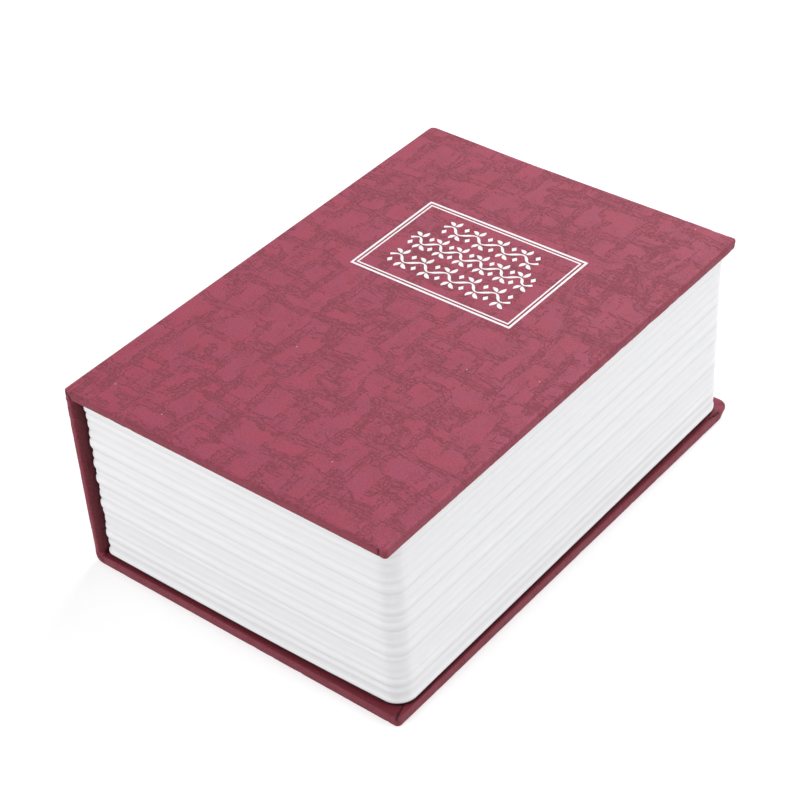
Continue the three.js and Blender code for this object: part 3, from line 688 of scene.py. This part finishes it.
boardReach = caseHigh.x - caseLow.x - coverThick - sheet["outerEdge"]
backStart = hingeRise + caseSheet["bend"]["leg"]
openFace = {  # in mm on the flat sheet
    "tail": sheet["outerEdge"] * perMetre,
    "head": (caseHigh.y - caseLow.y - sheet["outerEdge"]) * perMetre,
    "fore": (fanLength(frontSheet["bend"]) + boardReach) * perMetre,
    "backFore": -(backStart + fanLength(caseSheet["bend"]) + boardReach) * perMetre,
    "spineEnd": -backStart * perMetre,
}
paper = coveringPaper(paperLook, openFace)


def coverPaper(name, shape, body, replaced):
    bm, loose = coverSheet(shape)
    pressPaper(bm, loose, shape)
    piece = newPiece(name, bm, paper, body, [replaced], 60)
    thicken(piece)
    return len(piece.data.polygons)


frontFaces = coverPaper("front_cover_paper", frontSheet, "front_cover", "front_wrap")
caseFaces = coverPaper("case_paper", caseSheet, "casing", "case_wrap")
print("cover papers:", frontFaces, caseFaces)


# The strip of the same sheet that joins the spine to the front cover, as it stands with the cover shut
def hingeStrip():
    bm = bmesh.new()
    uvs = bm.loops.layers.uv.new("sheet")
    rim = outerArc()[::-1]
    places = [(caseLow.y + inset, depth) for inset, depth in rim]
    places += [(caseHigh.y - inset, depth) for inset, depth in reversed(rim)]
    section = []
    for across, depth in places:
        spot = Vector((caseLow.x + depth, across, caseHigh.z))
        section.append(bm.verts.new(reachedOut(spot, frontSheet["reach"])))
    edges = [bm.edges.new(pair) for pair in zip(section, section[1:])]
    steps = 6
    for _ in range(steps):
        fresh, edges = pulledOut(bm, edges)
        bmesh.ops.translate(bm, verts=list(fresh), vec=(0, 0, hingeRise / steps))
    bmesh.ops.recalc_face_normals(bm, faces=bm.faces[:])
    bm.normal_update()
    if sum(face.normal.x for face in bm.faces) > 0:
        bmesh.ops.reverse_faces(bm, faces=bm.faces[:])
    for face in bm.faces:
        for loop in face.loops:
            co = loop.vert.co
            loop[uvs].uv = ((co.z - frontLow.z) * perMetre, (co.y - caseLow.y) * perMetre)
    piece = newPiece("hinge_paper", bm, paper, None, (), 60)
    thicken(piece)
    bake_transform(piece)


hingeStrip()


# The boards inside the covers

boardLook = {
    "colour": (0.42, 0.39, 0.34, 1),
    "darkColour": (0.27, 0.25, 0.22, 1),
    "softEdge": 0.0006,
    "smaller": 0.0005,
    "thinner": 0.00012,
}


def greyBoard(look):
    material, tree = newMaterial("greyBoard")
    place = millimetres(tree)
    fibres = addNode(tree, "Mapping", {"Vector": place, "Scale": (1.0, 1.0, 5.0)}).outputs[0]
    layers = grain(tree, fibres, 1.1, 4, 0.65)
    flecks = ramp(tree, grain(tree, place, 4.0, 3), 0.58, 0.70)
    colour = blendColours(tree, ramp(tree, layers, 0.35, 0.65), look["darkColour"], look["colour"])
    colour = blendColours(tree, product(tree, flecks, 0.5), colour, look["darkColour"])
    finishMaterial(tree, {"Base Color": colour, "Roughness": 0.95, "Specular IOR Level": 0.2}, layers, 0.00008)
    return material


def mergedCopy(name):  # the node's own shape as one closed mesh with flat faces
    bm = bmesh.new()
    bm.from_mesh(nodes[name].data)
    bmesh.ops.remove_doubles(bm, verts=bm.verts[:], dist=1e-6)
    bmesh.ops.dissolve_limit(bm, angle_limit=math.radians(0.5), verts=bm.verts[:], edges=bm.edges[:])
    return bm


def roundOff(bm, fromAngle, offset, segments):  # all edges that bend more than this, in degrees
    bmesh.ops.bevel(
        bm,
        geom=[edge for edge in bm.edges if edge.calc_face_angle(0.0) > math.radians(fromAngle)],
        offset=offset,
        segments=segments,
        profile=0.5,
        affect="EDGES",
        material=-1,
        clamp_overlap=True,
    )


def softBoard(node, body, material, look):
    bm = mergedCopy(node)
    low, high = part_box(node)
    middle, size = (low + high) / 2, high - low
    for axis in range(3):
        less = look["thinner"] if size[axis] == min(size) else look["smaller"]
        for vert in bm.verts:
            vert.co[axis] = middle[axis] + (vert.co[axis] - middle[axis]) * (1 - 2 * less / size[axis])
    roundOff(bm, 60, look["softEdge"], 3)
    newPiece(node + "_pressed", bm, material, body, [node], 40)


board = greyBoard(boardLook)
softBoard("back_board", "casing", board, boardLook)
softBoard("spine_board", "casing", board, boardLook)
softBoard("front_board", "front_cover", board, boardLook)
print("boards done")


# The page block: one white moulding that looks like a stack of pages

pageShape = {
    "foreRound": 0.0040,
    "spineRound": 0.0020,
    "faceCalm": 0.70,  # how high the ribs are on the open faces, as a share of their height at the spine
    "cornerCalm": 0.45,  # how much lower still they are at the fore corners
    "draft": 0.0003,  # how much each free side leans in over its height
    "ribDepth": 0.00042,
    "ribWide": 1.18,
    "levelStep": 0.0003,
    "lip": 0.00035,  # rounding at the top
    "footHigh": 0.00066,  # the painted shadow line under the pages
    "footDeep": 0.00002,
    "footLip": 0.00007,
    "lineStrength": 0.56,  # of the painted shade line under a rib
    "lineBelow": 1.15,  # where the line is, in half thicknesses of that rib
    "lineHalf": 0.38,
    "lineFade": 0.75,  # how much weaker it is under a low rib
    "tailSkew": 0.00120,  # how far out the tail is at the spine and at the fore side
    "tailOut": 0.00012,
    "nearOut": 0.00089,  # how far out the fore side is at the tail and at the head
    "farOut": 0.00032,
    "foreLean": 0.0003,  # how much further out the fore side and the head are at the top
    "headLean": 0.0011,
    "sideStep": 0.0016,
    "cornerSteps": 10,
    "wander": 0.0045,  # how far a rib strays, as a share of the block's height
    "wall": 0.0022,
    "cavityRound": 0.0023,
    "rimWide": 0.0029,  # beside the spine
    "rimRound": 0.0024,
    "rimSpineRound": 0.0004,
    "rimEdge": 0.00015,
    "rimUnderLid": 0.0008,  # from the lid's top to the rim's underside
    "lidGap": 0.0004,
    "bossRadius": 0.0027,
    "bossBore": 0.00095,
    "bossLength": 0.0040,
    "bossInWall": 0.0008,
    "bossPlaces": (-0.0175, 0.0194),
    "bossHeight": 0.03164,
}

# Each rib's place up the block and half its thickness, as shares of the height, and how far it stands out
pageRibs = [
    (0.022, 0.0145, 1),
    (0.087, 0.0125, 0.45),
    (0.146, 0.0185, 1),
    (0.194, 0.0125, 0.55),
    (0.241, 0.0105, 0.2),
    (0.298, 0.0125, 0.4),
    (0.346, 0.0185, 0.95),
    (0.408, 0.0125, 0.55),
    (0.446, 0.0105, 0.2),
    (0.506, 0.0185, 1),
    (0.553, 0.0115, 0.3),
    (0.603, 0.0185, 0.95),
    (0.663, 0.0125, 0.45),
    (0.738, 0.0195, 1),
    (0.794, 0.0125, 0.55),
    (0.855, 0.0125, 0.4),
    (0.905, 0.0125, 0.5),
    (0.957, 0.0165, 0.9),
]

plasticLook = {
    "colour": (0.823, 0.821, 0.831, 1),
    "shadeColour": (0.797, 0.795, 0.806, 1),
    "dustAndShadeColour": (0.655, 0.645, 0.650, 1),  # painted shade in the thin lines under the ribs of the fore side
    "footShadowColour": (0.010, 0.005, 0.007, 1),  # painted shadow line where the pages stand on the cover
    "roughness": (0.42, 0.50),
}


def whitePlastic(look):
    material, tree = newMaterial("pagePlastic")
    place = millimetres(tree)
    pages = addNode(tree, "Mapping", {"Vector": place, "Scale": (0.25, 0.25, 6.0)}).outputs[0]
    streaks = grain(tree, pages, 0.5, 3, 0.6)
    colour = blendColours(tree, ramp(tree, streaks, 0.35, 0.65), look["shadeColour"], look["colour"])
    shade = addNode(tree, "Attribute", attribute_name="shade").outputs["Fac"]
    # painted shade in the lines under the ribs, then the painted shadow line at the foot
    colour = blendColours(tree, ramp(tree, shade, 0.05, 0.60), colour, look["dustAndShadeColour"])
    colour = blendColours(tree, ramp(tree, shade, 0.75, 0.95), colour, look["footShadowColour"])
    inputs = {
        "Base Color": colour,
        "Roughness": ramp(tree, grain(tree, place, 0.7, 3), 0.3, 0.7, *look["roughness"]),
        "Specular IOR Level": 0.4,
    }
    finishMaterial(tree, inputs, streaks, 0.00002)
    return material


# Points round a flat rectangle with rounded corners; the spine side's may have another radius
def roundedRing(low, high, z, spineRound, foreRound, counts, steps):
    corners = [
        (high.x, low.y, foreRound, -1),
        (high.x, high.y, foreRound, 0),
        (low.x, high.y, spineRound, 1),
        (low.x, low.y, spineRound, 2),
    ]
    arcs = []
    for x, y, radius, quarter in corners:
        centre = Vector((x + (-radius if x > low.x else radius), y + (-radius if y > low.y else radius)))
        turns = [quarterTurn * (quarter + i / steps) for i in range(steps + 1)]
        arcs.append([centre + radius * Vector((math.cos(turn), math.sin(turn))) for turn in turns])
    points = []
    for arc, following, count in zip(arcs, arcs[1:] + arcs[:1], counts):
        points += arc
        points += [arc[-1].lerp(following[0], i / count) for i in range(1, count)]
    return [Vector((point.x, point.y, z)) for point in points]


def ribRise(share, wander):  # flat-topped ribs with narrow grooves between them
    rise = 0.0
    for place, half, depth in pageRibs:
        away = abs(share - place - wander) / (half * pageShape["ribWide"])
        if away < 1:
            rise = max(rise, depth * (1 - away**4))
    return rise


def ribLine(share, wander):  # up to 1 in the thin line of painted shade under each rib
    line = 0.0
    for place, half, depth in pageRibs:
        below = (place + wander - share) / (half * pageShape["ribWide"])
        strength = 1 - pageShape["lineFade"] * (1 - depth)
        line = max(line, strength * (1 - abs(below - pageShape["lineBelow"]) / pageShape["lineHalf"]))
    return line


def sweepRings(bm, rings):  # each ring drawn out from the one before; the last one joins the first
    verts = first = [bm.verts.new(point) for point in rings[0]]
    edges = [bm.edges.new(pair) for pair in zip(verts, verts[1:] + verts[:1])]
    for ring in rings[1:]:
        fresh, _ = pulledOut(bm, edges)
        partner = {edge.other_vert(vert): vert for vert in fresh for edge in vert.link_edges}
        verts = [partner[vert] for vert in verts]
        for vert, point in zip(verts, ring):
            vert.co = point
        edges = [bm.edges.get(pair) for pair in zip(verts, verts[1:] + verts[:1])]
    bmesh.ops.weld_verts(bm, targetmap=dict(zip(verts, first)))


def pageBlock(shape):
    low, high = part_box("page_block")
    wide, deep, tall = high - low
    counts = [round(side / shape["sideStep"]) for side in (deep, wide, deep, wide)]
    rings, dustAndShade = [], {}

    def flatRing(by, spineBy, z, spineRound, foreRound):
        ringLow, ringHigh = Vector((low.x + spineBy, low.y + by)), Vector((high.x - by, high.y - by))
        return roundedRing(ringLow, ringHigh, z, spineRound, foreRound, counts, shape["cornerSteps"])

    # outside: the foot, which is two rings, and then the ribs
    foot, levels = shape["footHigh"], round(tall / shape["levelStep"])
    heights = [0.0, foot] + [foot + (tall - foot) * level / levels for level in range(levels + 1)]
    for index, height in enumerate(heights):
        share = height / tall
        lean = shape["draft"] * share + shape["ribDepth"]
        lip = shape["footLip" if share < 0.5 else "lip"]
        away = min(abs(height - foot), tall - height)
        back = lip - math.sqrt(max(lip**2 - (lip - away) ** 2, 0.0)) if away < lip else 0.0
        if index < 2:
            back = shape["footDeep"]
        ring = []
        for point in flatRing(lean, 0.0, low.z + height, shape["spineRound"], shape["foreRound"] - lean):
            wander = shape["wander"] * noise.noise(Vector((point.x * 40, point.y * 40, share * 9)))
            radius = shape["spineRound" if point.x < 0 else "foreRound"]
            centreX = min(max(point.x, low.x + shape["spineRound"]), high.x - shape["foreRound"])
            centreY = min(max(point.y, low.y + radius), high.y - radius)
            outward = Vector((point.x - centreX, point.y - centreY, 0)).normalized()
            if point.x > 0:
                calm = shape["faceCalm"] * (1 - 2 * shape["cornerCalm"] * abs(outward.x * outward.y))
            else:
                calm = shape["faceCalm"] + (1 - shape["faceCalm"]) * abs(outward.x)
            point = point + outward * (shape["ribDepth"] * ribRise(share, wander) * calm - back)
            point.x = max(point.x, low.x)
            # the moulding stands a little askew in its case
            towardsFore, towardsHead = (point.x - low.x) / wide, (point.y - low.y) / deep
            skew = shape["tailOut"] + (shape["tailSkew"] - shape["tailOut"]) * (1 - towardsFore**3)
            point.y += shape["headLean"] * (share - 0.2) * towardsHead**2 - skew * (1 - towardsHead) ** 2
            out = shape["nearOut"] + (shape["farOut"] - shape["nearOut"]) * towardsHead
            point.x += (out + shape["foreLean"] * share * towardsHead) * smoothly(towardsFore, 0.5, 0.95)
            ring.append(point)
            # painted shadow on the foot rings, painted shade lines under the fore side's ribs
            line = shape["lineStrength"] * ribLine(share, wander) * max(outward.x, 0.0) ** 3
            dustAndShade[point.to_tuple(6)] = 1.0 if index < 3 else line
        rings.append(ring)

    # the rim round the lid, and the cavity under it
    lidLow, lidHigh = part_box("lid_panel")
    gap, rimEdge = shape["lidGap"], shape["rimEdge"]
    underRim = lidHigh.z - shape["rimUnderLid"]

    def openRing(by, z):
        ringLow = Vector((low.x + shape["rimWide"] - by, lidLow.y - gap - by))
        ringHigh = Vector((lidHigh.x + gap + by, lidHigh.y + gap + by))
        radii = shape["rimSpineRound"] + by, shape["rimRound"] + by
        return roundedRing(ringLow, ringHigh, z, *radii, counts, shape["cornerSteps"])

    rings += [openRing(rimEdge, high.z), openRing(rimEdge * 0.3, high.z - rimEdge * 0.3)]
    rings += [openRing(0.0, high.z - rimEdge), openRing(0.0, underRim)]
    wall, cavity = shape["wall"], shape["cavityRound"]
    rings += [flatRing(wall, wall, z, cavity, cavity) for z in (underRim, low.z)]
    rings.append(rings[0])

    bm = bmesh.new()
    sweepRings(bm, rings)
    shadeLayer = bm.verts.layers.float.new("shade")
    for vert in bm.verts:
        vert[shadeLayer] = dustAndShade.get(vert.co.to_tuple(6), 0.0)
    bmesh.ops.remove_doubles(bm, verts=bm.verts[:], dist=1e-6)
    for end, inward in ((low.y + wall, 1), (high.y - wall, -1)):
        for x in shape["bossPlaces"]:
            addBoss(bm, Vector((x, end, shape["bossHeight"])), inward, shape)
    bmesh.ops.recalc_face_normals(bm, faces=bm.faces[:])
    newPiece("page_block_moulding", bm, whitePlastic(plasticLook), "casing", ["page_block"], 50)


def addBoss(bm, wallSpot, inward, shape):  # a tube for one of the strongbox's screws
    bore, radius = shape["bossBore"], shape["bossRadius"]
    start, end = -shape["bossInWall"], shape["bossLength"]
    section = [
        bm.verts.new(wallSpot + Vector((across, inward * along, 0)))
        for across, along in ((bore, start), (radius, start), (radius, end), (bore, end))
    ]
    edges = [bm.edges.new(pair) for pair in zip(section, section[1:] + section[:1])]
    bmesh.ops.spin(bm, geom=edges, cent=wallSpot, axis=(0, 1, 0), angle=math.tau, steps=28, use_merge=True)


pageBlock(pageShape)
print("page block done")


# Surfaces of the strongbox and its lock

coatLook = {
    "colour": (0.012, 0.012, 0.013, 1),
    "dustAndShadeColour": (0.020, 0.020, 0.022, 1),
    "roughness": (0.38, 0.52),
}

liningLook = {
    "colour": (0.022, 0.020, 0.020, 1),
    "wornColour": (0.030, 0.027, 0.027, 1),
    "roughness": 0.88,
}

metalLook = {
    # two colours, how rough it is, how its fine lines are stretched and their depth
    "zincPlate": ((0.50, 0.51, 0.52, 1), (0.44, 0.46, 0.49, 1), 0.30, (1, 1, 1), 0.00001),
    "rolledZinc": ((0.50, 0.51, 0.52, 1), (0.44, 0.46, 0.49, 1), 0.32, (1, 0.12, 1), 0.00002),
    "chromePlate": ((0.65, 0.66, 0.67, 1), (0.61, 0.62, 0.64, 1), 0.11, (1, 1, 1), 0.000003),
    "satinBrass": ((0.52, 0.40, 0.17, 1), (0.44, 0.33, 0.14, 1), 0.30, (1, 1, 0.4), 0.00001),
}


def powderCoat(look):
    material, tree = newMaterial("powderCoat")
    place = millimetres(tree)
    peel = grain(tree, place, 1.8, 3)
    dustAndShade = ramp(tree, grain(tree, place, 0.6, 4, 0.7), 0.45, 0.75)
    inputs = {
        "Base Color": blendColours(tree, dustAndShade, look["colour"], look["dustAndShadeColour"]),
        "Roughness": ramp(tree, peel, 0.3, 0.7, *look["roughness"]),
        "Specular IOR Level": 0.5,
    }
    finishMaterial(tree, inputs, peel, 0.00004)
    return material


def bareMetal(name, colour, dullColour, rough, stretch, lineDepth):
    material, tree = newMaterial(name)
    place = millimetres(tree)
    lines = addNode(tree, "Mapping", {"Vector": place, "Scale": stretch}).outputs[0]
    brushed = grain(tree, lines, 2.0, 3, 0.6)
    stains = ramp(tree, grain(tree, place, 0.35, 3, 0.6), 0.35, 0.65)
    inputs = {
        "Base Color": blendColours(tree, stains, colour, dullColour),
        "Metallic": 1.0,
        "Roughness": ramp(tree, brushed, 0.25, 0.75, rough * 0.8, rough * 1.25),
    }
    finishMaterial(tree, inputs, brushed, lineDepth)
    return material


def charcoalPaper(look):
    material, tree = newMaterial("charcoalPaper")
    place = millimetres(tree)
    fibres = grain(tree, place, 2.2, 4, 0.7)
    cloud = ramp(tree, grain(tree, place, 0.25, 3), 0.35, 0.65)
    colour = blendColours(tree, cloud, look["colour"], look["wornColour"])
    inputs = {"Base Color": colour, "Roughness": look["roughness"], "Specular IOR Level": 0.25}
    finishMaterial(tree, inputs, fibres, 0.00004)
    return material


# A node's own shape with its sharp edges rounded off
def softened(node, body, material, edge):
    bm = mergedCopy(node)
    roundOff(bm, 50, edge, 2)
    newPiece(node + "_finished", bm, material, body, [node], 40)


finishes = {"powderCoat": powderCoat(coatLook)}
for name, settings in metalLook.items():
    finishes[name] = bareMetal(name, *settings)

strongboxPieces = [
    # node, body, slot, finish, its edges' rounding in metres
    ("strongbox_tray", "casing", "black_steel", "powderCoat", 0.00014),
    ("strike_bracket", "casing", "zinc_steel", "zincPlate", 0.00012),
    ("hinge_rod", "casing", "zinc_steel", "rolledZinc", 0.00015),
    ("tray_screw_1", "casing", "zinc_steel", "zincPlate", 0.00006),
    ("tray_screw_2", "casing", "zinc_steel", "zincPlate", 0.00006),
    ("tray_screw_3", "casing", "zinc_steel", "zincPlate", 0.00006),
    ("tray_screw_4", "casing", "zinc_steel", "zincPlate", 0.00006),
    ("lid_panel", "lid", "black_steel", "powderCoat", 0.00014),
    ("lock_housing", "lid", "chrome", "chromePlate", 0.00012),
    ("lock_washer", "lid", "zinc_steel", "zincPlate", 0.00008),
    ("lock_nut", "lid", "zinc_steel", "zincPlate", 0.00012),
    ("lock_plug", "lock_core", "brass", "satinBrass", 0.00008),
    ("lock_cam", "lock_core", "zinc_steel", "zincPlate", 0.00014),
    ("cam_washer", "lock_core", "zinc_steel", "zincPlate", 0.00008),
    ("cam_screw", "lock_core", "zinc_steel", "zincPlate", 0.00008),
]
for node, body, slot, finish, edge in strongboxPieces:
    softened(node, body, finishes[finish], edge)
nodes["front_lining"].material_slots[0].material = charcoalPaper(liningLook)
print("strongbox done")


# White hot-stamped foil on the front cover: a double frame round three rows of leaves

foilLook = {"colour": (0.86, 0.84, 0.85, 1), "wornColour": (0.74, 0.66, 0.69, 1), "roughness": (0.34, 0.50)}

foilShape = {
    "thick": 0.00003,
    # all below in mm; low and high are the frame's outer corners
    "low": (-20.9, 6.5),
    "high": (19.8, 33.6),
    "outerLine": 0.50,
    "gap": 0.46,
    "innerLine": 0.36,
    # each row's middle height, half its length, half its height, and how many waves its stem has
    "rows": [(27.6, 12.2, 2.5, 4), (20.8, 15.6, 2.6, 6), (13.6, 15.4, 2.7, 5)],
    "middle": -0.55,
    "stem": 0.33,
    "lean": 0.28,
    # the wave's height and the lozenges' distance from the stem, as shares of the row's height
    "wave": 0.34,
    "lozengeOff": 0.92,
    "rootOff": 0.12,  # from the stem's edge to the leaves' root
    # each crest's two leaves: their side, their turn, their length as a share of the row's height, their width
    "leaves": [(0.12, 0.95, 0.78, 0.46), (-0.12, 2.35, 0.72, 0.44)],
    "lozenge": [(0.6, 0), (0, 0.82), (-0.6, 0), (0, -0.82)],
}


def whiteFoil(look):
    material, tree = newMaterial("whiteFoil")
    place = millimetres(tree)
    worn = ramp(tree, grain(tree, place, 1.6, 4, 0.7), 0.56, 0.70)
    inputs = {
        "Base Color": blendColours(tree, worn, look["colour"], look["wornColour"]),
        "Roughness": ramp(tree, worn, 0.0, 1.0, *look["roughness"]),
    }
    finishMaterial(tree, inputs, grain(tree, place, 2.4, 2), 0.00001)
    return material


def foilPatch(bm, points):  # one thin closed patch on the cover, from points in millimetres
    verts = [bm.verts.new((x / perMetre, y / perMetre, frontHigh.z)) for x, y in points]
    face = bm.faces.new(verts)
    lifted = bmesh.ops.extrude_face_region(bm, geom=[face], use_keep_orig=True)["geom"]
    tops = [element for element in lifted if isinstance(element, bmesh.types.BMVert)]
    bmesh.ops.translate(bm, verts=tops, vec=(0, 0, foilShape["thick"]))


def foilRibbon(bm, path, halfWidths):  # a strip along a path, with its own width at every point
    left, right = [], []
    for index, point in enumerate(path):
        before = path[max(index - 1, 0)]
        after = path[min(index + 1, len(path) - 1)]
        side = (after - before).orthogonal().normalized() * halfWidths[index]
        left.append(point + side)
        right.append(point - side)
    foilPatch(bm, left + right[::-1])


def foilFrame(bm, inset, line, shape):
    (left, tail), (right, head) = shape["low"], shape["high"]

    def corners(by):
        across, along = (left + by, right - by), (tail + by, head - by)
        return [(across[0], along[0]), (across[1], along[0]), (across[1], along[1]), (across[0], along[1])]

    outer, inner = corners(inset), corners(inset + line)
    for i in range(4):
        foilPatch(bm, [outer[i], outer[(i + 1) % 4], inner[(i + 1) % 4], inner[i]])


def foilLeaf(bm, root, turn, length, width):
    path, widths = [], []
    steps = 7
    for i in range(steps + 1):
        share = i / steps
        bow = turn + 0.5 * (share - 0.4)
        path.append(root + Vector((math.cos(bow), math.sin(bow))) * length * share)
        widths.append(max(width * math.sin(math.pi * share) ** 0.8, 0.03))
    foilRibbon(bm, path, widths)


# One row: a waved stem with two leaves at every crest and a lozenge across from them
def foilRow(bm, height, half, reach, waves, shape):
    def stemPoint(share, lift=0.0):
        x = (share * 2 - 1) * half
        y = math.sin(share * waves * math.tau) * reach * shape["wave"] + lift
        return Vector((shape["middle"] + x + y * shape["lean"], height + y))

    count = waves * 16
    widths = [shape["stem"] * (0.7 + 0.3 * math.cos(i / count * waves * math.tau * 2)) for i in range(count + 1)]
    foilRibbon(bm, [stemPoint(i / count) for i in range(count + 1)], widths)
    for crest in range(waves * 2):
        up = 1 if crest % 2 == 0 else -1
        share = (crest + 0.5) / (waves * 2)
        root = stemPoint(share, up * (shape["stem"] + shape["rootOff"]))
        for side, turn, length, width in shape["leaves"]:
            foilLeaf(bm, root + Vector((side, 0)), up * turn, reach * length, width)
        lozenge = stemPoint(share, -up * reach * shape["lozengeOff"])
        foilPatch(bm, [(lozenge.x + x, lozenge.y + y) for x, y in shape["lozenge"]])


foil = whiteFoil(foilLook)
bm = bmesh.new()
foilFrame(bm, 0.0, foilShape["outerLine"], foilShape)
foilFrame(bm, foilShape["outerLine"] + foilShape["gap"], foilShape["innerLine"], foilShape)
bmesh.ops.recalc_face_normals(bm, faces=bm.faces[:])
newPiece("foil_frame", bm, foil, "front_cover", (), 40)
bm = bmesh.new()
for row in foilShape["rows"]:
    foilRow(bm, *row, foilShape)
bmesh.ops.recalc_face_normals(bm, faces=bm.faces[:])
newPiece("foil_ornament", bm, foil, "front_cover", (), 40)
print("foil done")


def seenRays(tree):  # 1 for what the camera sees, also in reflections
    rays = addNode(tree, "LightPath").outputs
    return strongest(tree, rays["Is Camera Ray"], rays["Is Glossy Ray"], rays["Is Transmission Ray"])


def floorAndSky(settings):
    material, tree = newMaterial("floorPaper")
    matt = addNode(tree, "BsdfDiffuse", {"Color": settings["floorColour"]})
    glow = addNode(tree, "Emission", {"Strength": product(tree, seenRays(tree), settings["floorGlow"])})
    both = addNode(tree, "AddShader", {0: matt.outputs[0], 1: glow.outputs[0]})
    addNode(tree, "OutputMaterial", {"Surface": both.outputs[0]})
    bm = bmesh.new()
    bmesh.ops.create_grid(bm, x_segments=1, y_segments=1, size=settings["floorSize"] / 2)
    floor = meshObject("floor", bm, material)

    world = bpy.data.worlds.new("sky")
    world.use_nodes = True
    tree = world.node_tree
    tree.nodes.clear()
    inputs = {"Value": seenRays(tree), "To Min": settings["skyLight"], "To Max": settings["backgroundLight"]}
    strength = addNode(tree, "MapRange", inputs).outputs[0]
    sky = addNode(tree, "Background", {"Color": settings["skyColour"], "Strength": strength})
    addNode(tree, "OutputWorld", {"Surface": sky.outputs[0]})
    bpy.context.scene.world = world


addCamera(cameraSettings)
for lampName, lampSettings in lamps.items():
    addLamp(lampName, lampSettings)
floorAndSky(studio)
bpy.context.scene.view_settings.view_transform = "Standard"
print("studio set")
